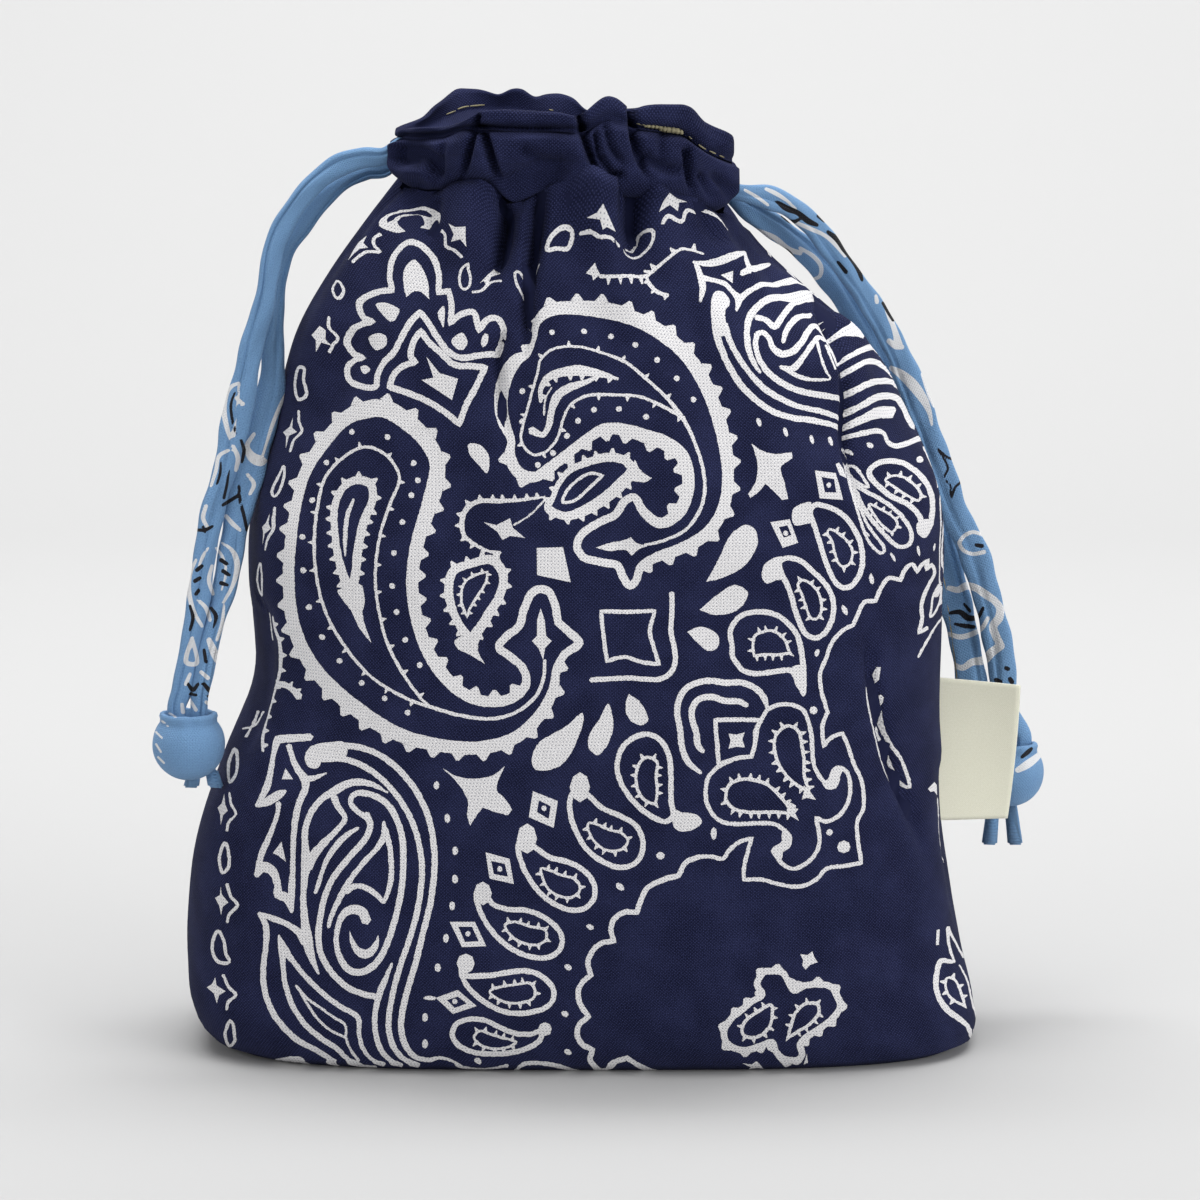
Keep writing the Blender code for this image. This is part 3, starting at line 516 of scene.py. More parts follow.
def lower_left_paisley():
    """The leafy paisley at the lower left, built of nested bands."""
    for run in (
        (309, 737, 8, 292, 738, 9, 277, 739, 9, 277, 739, 9, 274, 752, 6, 272, 770, 6, 268, 788, 8,
            258, 806, 4),
        (258, 806, 4, 270, 801, 10, 283, 793, 8, 287, 791, 3),
        (280, 803, 6, 278, 815, 5, 270, 835, 6, 261, 855, 7, 256, 875, 5),
        (256, 876, 5, 263, 867, 12, 272, 872, 10, 277, 885, 8, 278, 895, 10, 286, 898, 10, 292, 912, 4),
        (288, 745, 6, 292, 757, 6, 297, 768, 7, 305, 779, 9, 306, 788, 8, 300, 803, 7, 296, 820, 7,
            293, 845, 6, 292, 870, 6, 291, 893, 8, 292, 912, 3),
        (303, 779, 8, 314, 778, 6, 326, 773, 2),
        (325, 748, 12, 345, 746, 8, 362, 748, 7, 380, 755, 7, 395, 766, 7, 409, 782, 7, 420, 800, 7,
            429, 822, 7, 434, 850, 7, 434, 875, 7, 430, 905, 7, 423, 933, 7, 416, 962, 7, 409, 985, 7,
            403, 1008, 7, 401, 1025, 7, 404, 1042, 7, 414, 1056, 6, 428, 1060, 5, 440, 1058, 4,
            452, 1061, 3, 462, 1066, 3, 485, 1068, 2, 508, 1065, 3),
        (322, 758, 10, 343, 759, 7, 361, 765, 7, 378, 776, 6.5, 393, 792, 6.5, 404, 808, 6.5, 414, 829, 6.5,
            420, 852, 6.5, 422, 872, 6.5, 420, 895, 6.5, 416, 917, 6.5, 410, 938, 6.5, 403, 958, 6.5,
            397, 977, 6.5, 392, 997, 6.5, 389, 1015, 6.5, 389, 1032, 6.5, 394, 1047, 6.5, 404, 1059, 6,
            420, 1065, 4),
        (387, 793, 2, 373, 785, 6, 358, 782, 8, 345, 785, 9, 333, 792, 9, 322, 799, 7, 312, 812, 7,
            306, 828, 7, 305, 845, 8, 306, 862, 12, 304, 880, 8, 303, 900, 7, 305, 920, 9, 308, 940, 12,
            312, 957, 8, 319, 974, 2),
        (334, 797, 8, 338, 806, 7, 345, 818, 6, 337, 830, 6, 325, 842, 8, 314, 855, 10, 308, 868, 9),
        (259, 913, 3, 272, 918, 7, 285, 923, 6, 298, 931, 8, 306, 942, 10),
        (259, 913, 4, 266, 925, 7, 266, 945, 6.5, 263, 970, 6.5, 264, 990, 6.5, 271, 1010, 6.5,
            282, 1026, 6.5, 297, 1040, 6.5, 314, 1049, 6, 330, 1059, 6, 343, 1068, 4),
        (279, 935, 2, 282, 948, 8, 283, 965, 6, 285, 985, 6, 292, 1006, 6, 304, 1024, 6, 320, 1038, 6,
            336, 1048, 6, 349, 1060, 5, 365, 1065, 4, 378, 1066, 3),
        (279, 935, 2, 284, 948, 9, 294, 962, 6, 306, 977, 6, 321, 992, 6, 339, 1006, 6, 358, 1018, 6,
            359, 1035, 5, 364, 1050, 5, 373, 1060, 4, 386, 1064, 3),
        (296, 986, 3, 302, 996, 3, 309, 1008, 3, 319, 1021, 3, 331, 1031, 3, 346, 1038, 3),
        (296, 986, 3, 306, 998, 3, 320, 1008, 3, 334, 1018, 3, 345, 1025, 3, 346, 1038, 3, 351, 1050, 3,
            359, 1061, 3),
        (392, 963, 3, 386, 978, 6, 379, 995, 7, 375, 1015, 6, 376, 1035, 6, 382, 1051, 6, 392, 1061, 5,
            404, 1065, 3),
        (367, 818, 7, 358, 812, 6, 351, 804, 6, 352, 796, 6, 362, 793, 7, 376, 797, 7, 388, 806, 7,
            396, 820, 7, 402, 840, 7, 403, 862, 7, 402, 885, 7, 398, 908, 7, 392, 930, 7, 385, 949, 7,
            375, 964, 8, 361, 972, 8, 349, 969, 8, 341, 958, 7, 337, 944, 6, 338, 928, 6, 343, 915, 8,
            352, 909, 10, 362, 911, 11, 367, 921, 11),
        (366, 814, 8, 370, 826, 7, 365, 839, 7, 354, 852, 7, 342, 866, 7, 332, 880, 7, 325, 896, 7,
            321, 914, 7, 319, 932, 7, 320, 948, 7, 326, 963, 7, 336, 977, 7, 349, 988, 7, 363, 994, 7,
            376, 997, 7),
        (358, 828, 3, 347, 835, 6, 337, 845, 7, 328, 858, 6, 322, 872, 5, 318, 885, 5, 315, 893, 4),
        (383, 822, 3, 384, 836, 8, 377, 848, 6, 365, 861, 6, 353, 876, 6, 344, 890, 7, 337, 904, 6,
            331, 918, 5, 329, 927, 4),
        (384, 830, 8, 389, 845, 6, 391, 862, 6, 391, 880, 6, 387, 895, 5, 384, 902, 4),
        (384, 902, 4, 375, 893, 6, 365, 887, 6, 355, 886, 6, 346, 891, 8),
    ):
        brush(run)
    flat(286, 768, 294, 779, 283, 779)
    flat(281, 842, 285, 862, 278, 856, 272, 853)
    fill((305, 752, 312, 745, 330, 742, 345, 743, 345, 757, 322, 760, 318, 768, 310, 768, 305, 762))
    fill((350, 930, 350, 930, 351, 942, 356, 953, 364, 958, 373, 955, 379, 945, 379, 934, 379, 934,
        373, 944, 366, 949, 358, 945))
    for place in ((436, 786), (447, 819), (455, 851), (455, 879), (452, 906), (446, 938), (438, 967),
        (425, 1018), (425, 1044)):
        spot(*place, 3, 4.5)
    spot(430, 998, 6.5, 2.5)


def upper_right_leaf():
    """The leafy scroll at the upper right, which the deep crease crosses."""
    for run in (
        (694, 262, 4, 715, 261, 8, 735, 256, 8, 748, 249, 5),
        (748, 248, 4, 748, 262, 8, 752, 268, 8, 762, 264, 7, 772, 262, 4),
        (742, 273, 6, 750, 270, 8),
        (697, 264, 7, 700, 275, 8, 702, 288, 8, 700, 302, 3),
        (702, 278, 8, 715, 279, 6, 727, 282, 6, 735, 291, 6, 740, 297, 9, 737, 310, 3),
        (740, 298, 8, 750, 290, 6, 762, 284, 6, 776, 281, 6, 790, 281, 6, 802, 286, 5, 811, 294, 4,
            818, 304, 3, 823, 316, 2),
        (814, 299, 8, 800, 296, 10, 785, 295, 9, 770, 298, 8, 759, 305, 8, 751, 315, 8, 747, 328, 7,
            747, 343, 7, 750, 356, 6, 755, 366, 5, 760, 373, 3),
        (757, 316, 7, 767, 319, 6, 775, 326, 8, 782, 317, 7, 789, 308, 7, 796, 301, 6, 806, 299, 5),
        (783, 342, 4, 786, 332, 6, 793, 321, 7, 803, 314, 6, 813, 313, 5),
        (757, 334, 6, 763, 332, 6, 769, 338, 6, 773, 348, 7, 782, 354, 8, 793, 351, 8, 802, 341, 7,
            809, 330, 7, 817, 323, 6, 824, 329, 5, 828, 340, 4, 834, 356, 3, 840, 372, 2),
        (757, 334, 6, 755, 345, 6, 759, 360, 6, 768, 373, 7, 783, 384, 7, 800, 391, 7, 820, 395, 7,
            842, 399, 6),
        (780, 367, 4, 792, 369, 8, 803, 357, 6, 812, 344, 6, 820, 336, 6, 826, 340, 4),
        (785, 369, 4, 797, 376, 5, 812, 380, 4, 829, 380, 2),
        (817, 342, 4, 819, 355, 3, 823, 368, 3, 829, 379, 2),
        (826, 345, 3, 829, 356, 3, 834, 370, 2),
        (826, 345, 3, 832, 355, 3, 836, 366, 3),
        (716, 320, 11, 717, 335, 8, 722, 350, 7, 730, 367, 7, 741, 385, 7, 755, 400, 7, 772, 412, 7,
            790, 418, 7, 810, 420, 7, 830, 424, 6, 844, 428, 5),
        (724, 325, 8, 729, 340, 6, 738, 357, 6, 750, 374, 6, 764, 389, 7, 780, 399, 7, 800, 407, 6,
            820, 411, 6, 838, 417, 5, 845, 420, 4),
        (836, 362, 6, 850, 356, 6, 863, 351, 6, 872, 349, 6, 880, 353, 5, 888, 361, 3),
        (840, 376, 6, 852, 369, 6, 865, 363, 6, 876, 363, 6, 887, 370, 5, 896, 379, 3),
        (843, 397, 7, 855, 390, 7, 868, 384, 7, 880, 381, 7, 892, 382, 6, 902, 390, 5, 913, 403, 3),
        (845, 414, 7, 858, 407, 7, 870, 400, 8, 883, 396, 8, 895, 397, 7, 903, 405, 8, 910, 417, 12,
            914, 427, 8),
        (847, 436, 5, 862, 434, 6, 877, 432, 6, 884, 434, 5, 887, 441, 5, 895, 446, 6, 908, 443, 6,
            920, 438, 6, 927, 435, 4),
        (923, 447, 3, 929, 458, 3, 934, 472, 3),
    ):
        brush(run)
    flat(723, 273, 734, 270, 734, 281)
    fill((711, 300, 716, 291, 724, 291, 730, 299, 729, 306, 725, 311, 725, 322, 727, 335, 716, 335,
        711, 318))
    fill((845, 424, 845, 424, 858, 417, 872, 409, 886, 406, 896, 408, 893, 418, 893, 418, 878, 419,
        862, 424, 848, 429, 848, 429))
    fill((827, 334, 838, 330, 846, 328, 843, 319, 843, 319, 852, 327, 861, 334, 859, 343, 859, 343,
        850, 339, 838, 335, 828, 338))
    flat(823, 318, 834, 319, 828, 325)
    spot(868, 446, 4, 2.2, 35)
    spot(918, 460, 3.6, 3.4)
    spot(852, 451, 1.4, 4.5, -35)
    for place in ((758, 423), (784, 433), (811, 440), (831, 441)):
        spot(*place, 2.2, 5, -18)


def right_arc():
    """Star, diamonds and paisleys down the right, some squeezed by the crease."""
    fill((746, 432, 746, 432, 751, 444, 763, 452, 774, 455, 790, 453, 790, 453, 791, 459, 791, 459,
        780, 467, 780, 473, 784, 484, 788, 499, 788, 499, 782, 500, 782, 500, 774, 492, 765, 484, 765, 484,
        758, 492, 750, 498, 750, 498, 748, 494, 748, 494, 755, 483, 757, 469, 754, 453))
    diamond((814, 471, 836, 473, 844, 500, 820, 498), (821, 477, 834, 479, 837, 492, 825, 492), (829, 485))
    diamond((770, 522, 790, 519, 799, 543, 783, 548), (779, 527, 788, 525, 792, 535, 784, 538), (786, 533))
    stroke((811, 512, 815, 505, 822, 505, 835, 509, 847, 517, 856, 529, 862, 542, 864, 559, 861, 573,
        854, 584, 846, 588, 837, 584, 831, 573, 826, 559, 821, 542, 816, 527), 6, True)
    fill((792, 516, 794, 508, 801, 504, 811, 502, 812, 512, 814, 522, 806, 524, 795, 525))
    ring((831, 529, 840, 533, 849, 541, 854, 550, 852, 562, 845, 567, 839, 562, 836, 551, 833, 539,
        829, 534), 3)
    stroke((780, 562, 788, 558, 801, 561, 813, 571, 824, 582, 831, 594, 833, 609, 830, 623, 823, 634,
        815, 638, 806, 634, 800, 623, 795, 609, 791, 594, 786, 582, 781, 571), 6, True)
    fill((762, 573, 765, 564, 774, 558, 783, 557, 781, 566, 784, 578, 774, 581, 767, 584, 763, 580))
    ring((798, 585, 803, 580, 811, 584, 818, 592, 821, 603, 820, 614, 815, 619, 810, 617, 806, 607,
        802, 594), 3)
    flat(836, 464, 839, 462, 845, 468, 849, 477, 845, 477, 840, 475)
    stroke((851, 464, 857, 467, 865, 480, 869, 487, 861, 484, 854, 475), 3, True)
    stroke((854, 484, 861, 516, 870, 541, 881, 553, 885, 551, 883, 544, 876, 535, 868, 522, 862, 506), 3.4,
        True)
    stroke((852, 476, 863, 489, 879, 498, 894, 509, 904, 521, 910, 534, 908, 544, 900, 547, 892, 542,
        883, 532, 874, 521, 865, 507, 859, 493), 4.6, True)
    ring((870, 504, 883, 510, 893, 517, 897, 524, 892, 532, 883, 525, 876, 516), 2.6, 8, 3, 4)
    stroke((846, 437, 851, 460, 856, 500, 866, 530, 871, 536), 1.6)
    stroke((841, 440, 848, 458, 853, 490, 862, 520), 1.4)
    brush((920, 533, 8, 919, 522, 6, 914, 512, 6, 904, 503, 6, 892, 497, 6, 879, 487, 6, 871, 478, 6,
        869, 471, 6, 876, 464, 6, 888, 461, 6, 902, 463, 6, 913, 471, 6, 922, 482, 6, 928, 496, 6,
        929, 512, 6, 927, 526, 7), True)
    fill((914, 526, 919, 520, 927, 520, 929, 526, 926, 535, 922, 538, 916, 534))
    ring((885, 480, 892, 476, 902, 477, 911, 484, 918, 494, 916, 501, 906, 496, 895, 488), 3)
    stroke((923, 448, 929, 462, 934, 475, 935, 488), 2)
    stroke((930, 447, 935, 460, 937, 482), 2)
    stroke((939, 492, 937, 502, 939, 523, 940, 546, 942, 567, 943, 585), 2)
    stroke((939, 492, 943, 507, 943, 537, 945, 566, 950, 582), 2)
    for place in ((872, 579, 2.3, 5.5, -6), (844, 610, 2.6, 5.5, -25), (817, 653, 2.3, 4.2, 15),
        (917, 551, 1.5, 5.5, -12), (893, 557, 1.5, 5.2, -28), (933, 547, 1.2, 4, 8),
        (813, 710, 4, 4, 0), (829, 832, 3.6, 3.2, 0), (844, 847, 7, 6.5, 0), (714, 834, 3, 6.5, 0),
        (661, 856, 4, 3.5, 30), (620, 887, 5, 3, 40)):
        spot(*place)


def lower_right_flowers():
    """The double flower, small stars, the folded flower and the one at the edge."""
    line = stroke((757, 984, 764, 972, 772, 971, 782, 972, 788, 981, 794, 990, 805, 985, 820, 984, 830, 986,
        836, 994, 840, 1006, 834, 1017, 822, 1027, 808, 1036, 800, 1044, 802, 1055, 797, 1060, 784, 1059,
        776, 1052, 772, 1042, 760, 1046, 745, 1050, 730, 1046, 724, 1036, 725, 1027, 732, 1017, 741, 1010,
        751, 1002, 762, 994), 7.5, True)
    teeth(line, True, 17, 3.5, 12)
    ring((745, 1021, 757, 1012, 771, 1005, 772, 1017, 769, 1027, 759, 1036, 748, 1037, 742, 1032), 3.6)
    ring((796, 1012, 805, 1004, 817, 1004, 819, 1012, 810, 1024, 800, 1030, 789, 1036, 791, 1026), 3.6)
    flat(800, 954, 807, 955, 812, 951, 814, 957, 817, 962, 810, 964, 805, 969, 802, 965, 803, 960)
    flat(742, 1063, 750, 1064, 757, 1061, 758, 1065, 762, 1068, 754, 1067, 749, 1071, 747, 1066)
    brush((868, 690, 4, 869, 705, 4, 875, 730, 4, 885, 762, 4, 896, 781, 4, 899, 771, 4, 895, 755, 3,
        887, 730, 3, 881, 706, 3, 872, 690, 4), True)
    brush((882, 697, 5, 882, 715, 3, 892, 742, 3, 904, 762, 3, 913, 788, 3, 905, 782, 3, 897, 765, 3,
        886, 740, 3, 879, 715, 3), True)
    flat(906, 796, 912, 803, 914, 814, 909, 806)
    flat(878, 667, 881, 667, 880, 680, 878, 684, 876, 675)
    brush((948, 928, 6, 952, 934, 4, 958, 944, 3, 964, 957, 2))
    brush((948, 928, 5, 949, 942, 4, 952, 954, 3, 955, 962, 3))
    brush((953, 962, 4, 941, 961, 6, 937, 973, 6, 936, 988, 6, 940, 1000, 6, 947, 1010, 7, 958, 1018, 6,
        967, 1026, 5, 973, 1040, 5, 977, 1044, 4))
    brush((960, 965, 2, 966, 978, 2, 971, 998, 2, 977, 1022, 2, 978, 1040, 3))
    ring((947, 978, 955, 980, 961, 994, 963, 1004, 953, 1000, 946, 990), 3)
    flat(936, 930, 939, 929, 939, 945, 936, 945)
    flat(928, 789, 934, 782, 938, 785, 938, 795, 934, 791, 930, 792)
    stroke((939, 798, 941, 815, 941, 835, 943, 850, 950, 862), 2)


def lower_arc():
    """Paisleys and diamonds in an arc below the middle, the large star and spots."""
    for outer, blob, eye in (
        ((452, 1035, 457, 1024, 470, 1019, 485, 1020, 500, 1027, 515, 1033, 530, 1034, 541, 1031, 540, 1040,
            528, 1048, 510, 1053, 490, 1054, 472, 1052, 458, 1045), (545, 1029, 7, 7), (474, 1038,
            480, 1031, 490, 1034, 503, 1038, 516, 1042, 509, 1047, 495, 1049, 482, 1046)),
        ((466, 975, 478, 975, 495, 974, 515, 971, 532, 972, 545, 979, 553, 989, 553, 1000, 544, 1008,
            528, 1012, 510, 1012, 493, 1006, 478, 996, 466, 983, 461, 970), (466, 963, 9, 10), (490, 990,
            500, 986, 515, 984, 530, 983, 535, 990, 533, 998, 520, 1002, 505, 1001, 495, 996)),
        ((492, 903, 507, 909, 525, 910, 542, 916, 555, 926, 562, 938, 560, 950, 548, 958, 530, 957,
            512, 949, 497, 937, 485, 921, 478, 905, 477, 892, 484, 890), (483, 893, 9, 12), (505, 925,
            515, 922, 530, 927, 545, 930, 546, 940, 538, 945, 525, 944, 512, 937)),
        ((534, 846, 550, 857, 568, 862, 584, 871, 594, 884, 594, 898, 585, 908, 571, 910, 555, 904,
            541, 893, 529, 877, 521, 860, 518, 845, 522, 840), (527, 838, 10, 15), (541, 868, 548, 869,
            562, 875, 576, 880, 580, 890, 572, 897, 560, 896, 549, 889, 543, 878)),
        ((588, 795, 602, 808, 620, 816, 636, 826, 643, 842, 641, 857, 632, 866, 618, 868, 602, 862,
            588, 851, 578, 836, 571, 817, 570, 800, 576, 790), (580, 787, 10, 15), (588, 824, 595, 824,
            608, 830, 622, 834, 628, 842, 622, 850, 610, 852, 598, 846, 590, 835)),
    ):
        stroke(outer, 6, True)
        spot(*blob)
        ring(eye, 3)
    stroke((617, 765, 622, 748, 633, 738, 648, 734, 661, 741, 669, 756, 671, 780, 671, 800, 673, 816,
        665, 822, 645, 812, 630, 797, 620, 780), 6, True)
    fill((672, 808, 680, 812, 697, 815, 702, 823, 690, 831, 675, 829))
    ring((648, 757, 640, 762, 636, 775, 638, 790, 645, 800, 655, 803, 657, 790, 656, 775, 657, 762), 3.5)
    diamond((533, 791, 558, 801, 554, 828, 529, 817), (539, 800, 551, 806, 549, 819, 537, 812), (544, 808))
    diamond((486, 852, 510, 858, 514, 883, 490, 878), (491, 860, 505, 863, 508, 876, 494, 873), (500, 868))
    diamond((450, 922, 475, 922, 486, 946, 462, 947), (458, 927, 472, 927, 479, 941, 465, 942), (468, 934))
    diamond((436, 998, 458, 989, 477, 1005, 453, 1014), (447, 1000, 458, 996, 467, 1003, 455, 1008), (455,
        1001))
    fill((443, 769, 443, 769, 457, 777, 478, 779, 494, 775, 505, 766, 505, 766, 498, 782, 497, 791,
        506, 800, 512, 810, 512, 810, 508, 815, 508, 815, 495, 812, 483, 808, 483, 808, 477, 815, 470, 826,
        470, 826, 467, 815, 468, 803, 462, 790, 455, 781))
    for place in ((660, 857), (620, 887), (590, 927), (568, 968), (565, 1014), (568, 1052), (478, 1061)):
        spot(*place, 4, 2.8, 25)


for draw in (
    collar_motifs, spade_flower, left_border, left_paisley, right_paisley, middle_motifs, twin_paisleys,
    scalloped_frame, lower_left_paisley, upper_right_leaf, right_arc, lower_right_flowers, lower_arc,
):
    draw()


# Lines and folds of the neck, drawn in the photograph's pixels

def line_table(numbers):
    return pairs(numbers).astype(float)



# Line along which the front casing is sewn to the body
SEAM_LINE = line_table((
    380, 186, 400, 189, 425, 190, 442, 190, 458, 183, 480, 180, 492, 184, 500, 196, 512, 204, 524, 200,
    545, 189, 568, 178, 583, 166, 596, 174, 604, 182, 614, 177, 630, 175, 643, 178, 658, 186, 682, 197,
    710, 210, 740, 220, 760, 226,
))
# Upper edges of the two headers
FRONT_TOP = line_table((
    380, 143, 388, 134, 400, 128, 440, 127, 468, 119, 480, 111, 500, 109, 560, 112, 578, 117, 586, 111,
    597, 101, 607, 95, 619, 98, 630, 108, 636, 111, 642, 106, 655, 104, 682, 104, 694, 108, 706, 120,
    720, 129, 733, 137, 740, 150, 748, 162,
))
BACK_TOP = line_table((
    385, 134, 405, 126, 421, 116, 430, 106, 445, 99, 460, 88, 480, 89, 497, 95, 510, 88, 522, 88, 535, 98,
    545, 94, 560, 93, 575, 98, 585, 110, 610, 112, 650, 114, 700, 124, 735, 160,
))

# Stitch lines below the two headers
FRONT_LINE = line_table((
    380, 146, 388, 137, 400, 131, 440, 130, 468, 127, 480, 127, 530, 129, 560, 129, 583, 131, 597, 121,
    607, 116, 619, 119, 632, 125, 640, 127, 660, 129, 682, 132, 694, 141, 706, 150, 720, 157, 733, 163,
    748, 170,
))
BACK_LINE = line_table((
    385, 140, 405, 132, 425, 125, 445, 116, 465, 109, 484, 107, 510, 107, 540, 112, 585, 120, 650, 130,
    700, 140, 735, 158,
))
NECK_RISE = 21.0


def tunnel_reach(share):
    """How far a casing's wall stands off the neck's oval at a share up its tunnel."""
    return 0.5 + 5.2 * np.sin(np.clip(np.asarray(share) / 0.35, 0.0, 1.0) * math.pi / 2) ** 0.85


# Folds: line, depth in millimetres, half width in pixels
BODY_FOLDS = (
    ((500, 186, 506, 205, 505, 230, 498, 260, 486, 290), 7.5, 7.0),
    ((540, 192, 539, 215, 534, 250, 528, 290, 527, 330, 524, 375), 7.0, 6.5),
    ((522, 205, 521, 240, 514, 290), -2.0, 7.0), ((630, 180, 632, 205, 634, 238, 640, 262), 6.2, 11.0),
    ((613, 180, 618, 210, 624, 238), 2.6, 3.2), ((470, 186, 462, 220, 455, 270), -2.2, 16.0),
    ((585, 170, 597, 205, 606, 260), -2.4, 20.0), ((440, 192, 434, 215, 425, 245), 2.4, 8.0),
    ((692, 204, 705, 225, 728, 250), 2.6, 8.0), ((735, 222, 770, 260, 800, 300), 1.6, 12.0),
    ((812, 285, 826, 315, 842, 355, 846, 400, 846, 440, 856, 490, 872, 535), 3.4, 4.5),
    ((830, 285, 858, 350, 868, 430, 885, 520), -1.6, 12.0),
    ((868, 640, 876, 700, 890, 755, 912, 810, 930, 880), 3.0, 6.0),
    ((255, 600, 262, 660, 250, 720, 236, 780), 3.0, 12.0),
    ((503, 330, 497, 365, 500, 410, 508, 445), 3.0, 6.0),
    ((560, 470, 600, 520, 640, 600, 660, 700), 1.2, 26.0), ((430, 420, 460, 520, 480, 640), 1.1, 28.0),
    ((940, 760, 948, 840, 962, 930), 1.4, 7.0), ((360, 330, 330, 400, 310, 480), 1.3, 20.0),
    ((700, 640, 760, 720, 840, 790), 1.1, 28.0),
)
CASING_FOLDS = (
    ((396, 153, 414, 154, 428, 164, 434, 186), 4.6, 9.0), ((476, 117, 468, 150, 459, 188), 2.8, 3.4),
    ((481, 130, 490, 160, 500, 194), 4.0, 4.2), ((478, 127, 530, 129, 583, 129), 1.6, 2.2),
    ((503, 188, 530, 178, 560, 168, 579, 152), 5.0, 12.0), ((580, 118, 588, 148, 602, 184), 3.8, 4.0),
    ((596, 136, 601, 158, 616, 178), 2.2, 3.4), ((633, 110, 636, 140, 645, 168, 654, 186), 4.0, 4.2),
    ((688, 152, 691, 172, 694, 198), 2.6, 4.0), ((702, 176, 708, 188, 714, 204), 2.0, 3.2),
    ((635, 127, 680, 132, 702, 147, 736, 168), 1.3, 2.2), ((602, 180, 614, 175, 628, 175), 2.2, 4.0),
    ((440, 148, 437, 165, 438, 188), 1.4, 5.0), ((392, 160, 404, 163, 418, 172), 2.2, 4.0),
    ((400, 140, 440, 139, 474, 132), 1.3, 4.5), ((648, 158, 668, 168, 692, 172), 2.4, 6.0),
    ((524, 150, 545, 163, 572, 166), 1.6, 6.0), ((606, 128, 612, 148, 628, 170), 1.6, 4.0),
    ((664, 136, 662, 150, 668, 165), 1.2, 5.0), ((718, 176, 730, 190, 734, 208), 2.0, 4.0),
    ((412, 178, 420, 186, 432, 190), 1.2, 4.0),
)


def fold_depth(pixels, folds, sharp_start=False):
    """How far each point of the cloth moves in, from the folds drawn across it."""
    depth = np.zeros(pixels.shape[:-1])
    for points, reach, width in folds:
        line = smooth_run(pairs(points), False, 1.0, 4.0)[:, :2]
        reached = np.ptp(line, axis=0) / 2 + 2.6 * width + 4
        near = np.all(np.abs(pixels - line.mean(axis=0)) < reached, axis=-1)
        if not near.any():
            continue
        away = np.linalg.norm(pixels[near][:, None] - line[None], axis=-1)
        share = away.argmin(axis=1) / (len(line) - 1)
        strength = smooth_step((1.0 - share) / 0.45)
        if not sharp_start:
            strength = strength * smooth_step(share / 0.12 + 0.35)
        depth[near] += reach * strength * np.exp(-(away.min(axis=1) / width) ** 2)
    return depth


# Cloth grid: one row for each level, one column for each step from the left seam to the right one

ROWS = 281
COLUMNS = 401
MIRROR_ACROSS = 1166.0


def level_outline(left, right, reach, squareness, side):
    angle = np.linspace(0.0, math.pi, 1441)
    middle = (right - left) / 2
    half = (right + left) / 2
    power = 2.0 / squareness
    across = np.cos(angle)
    x = middle - np.sign(across) * half * np.abs(across) ** power
    y = side * reach * np.abs(np.sin(angle)) ** power
    length = np.concatenate(((0.0,), np.cumsum(np.hypot(np.diff(x), np.diff(y)))))
    even = np.linspace(0.0, length[-1], COLUMNS)
    return np.interp(even, length, x), np.interp(even, length, y)


def plain_panel(side):
    """The smooth surface of one panel, side -1 in front and 1 behind, with no folds."""
    rows = np.empty((ROWS, COLUMNS, 3))
    for row, place in enumerate(np.linspace(0.0, 1.0, ROWS)):
        left, right, reach, squareness = (
            smooth_table(BODY_SECTIONS[:, 0], BODY_SECTIONS[:, column], place) for column in (1, 2, 3, 4)
        )
        x, y = level_outline(left, right, reach, squareness, side)
        tilt = NECK_SLOPE * (x - NECK_SHIFT) * place ** 3
        rows[row] = np.stack((x, y, BODY_HEIGHT * place - tilt), axis=-1)
    return rows


def grid_normals(rows, side):
    upward = np.gradient(rows, axis=0)
    along = np.gradient(rows, axis=1)
    return unit(np.cross(along, upward) * -side)


def lift_to(points, table):
    """How far up each point must move to meet a line drawn in the photograph."""
    here = in_picture(points)
    above = in_picture(points + np.array((0.0, 0.0, 1.0)))
    goal = np.interp(here[..., 0], table[:, 0], table[:, 1])
    return (goal - here[..., 1]) / (above[..., 1] - here[..., 1])


PLAIN_FRONT = plain_panel(-1.0)
PLAIN_BACK = plain_panel(1.0)
FRONT_PIXELS = in_picture(PLAIN_FRONT)
SHARE_UP = np.linspace(0.0, 1.0, ROWS)[:, None]
SHARE_ALONG = np.linspace(0.0, 1.0, COLUMNS)[None]
FROM_SEAM = smooth_step(np.minimum(SHARE_ALONG, 1.0 - SHARE_ALONG) / 0.06)


def soft_dents(seed, size, depth):
    """Broad shallow dents of slack cloth."""
    source = np.random.default_rng(seed)
    total = np.zeros((ROWS, COLUMNS))
    for _ in range(9):
        turn = source.uniform(0, math.pi)
        phase = source.uniform(0, 2 * math.pi)
        pitch = size * source.uniform(0.6, 1.6)
        along = SHARE_ALONG * PANEL_WIDTH * math.cos(turn) + SHARE_UP * PANEL_RISE * math.sin(turn)
        total += np.sin(2 * math.pi * along / pitch + phase)
    return total * depth / 3.0


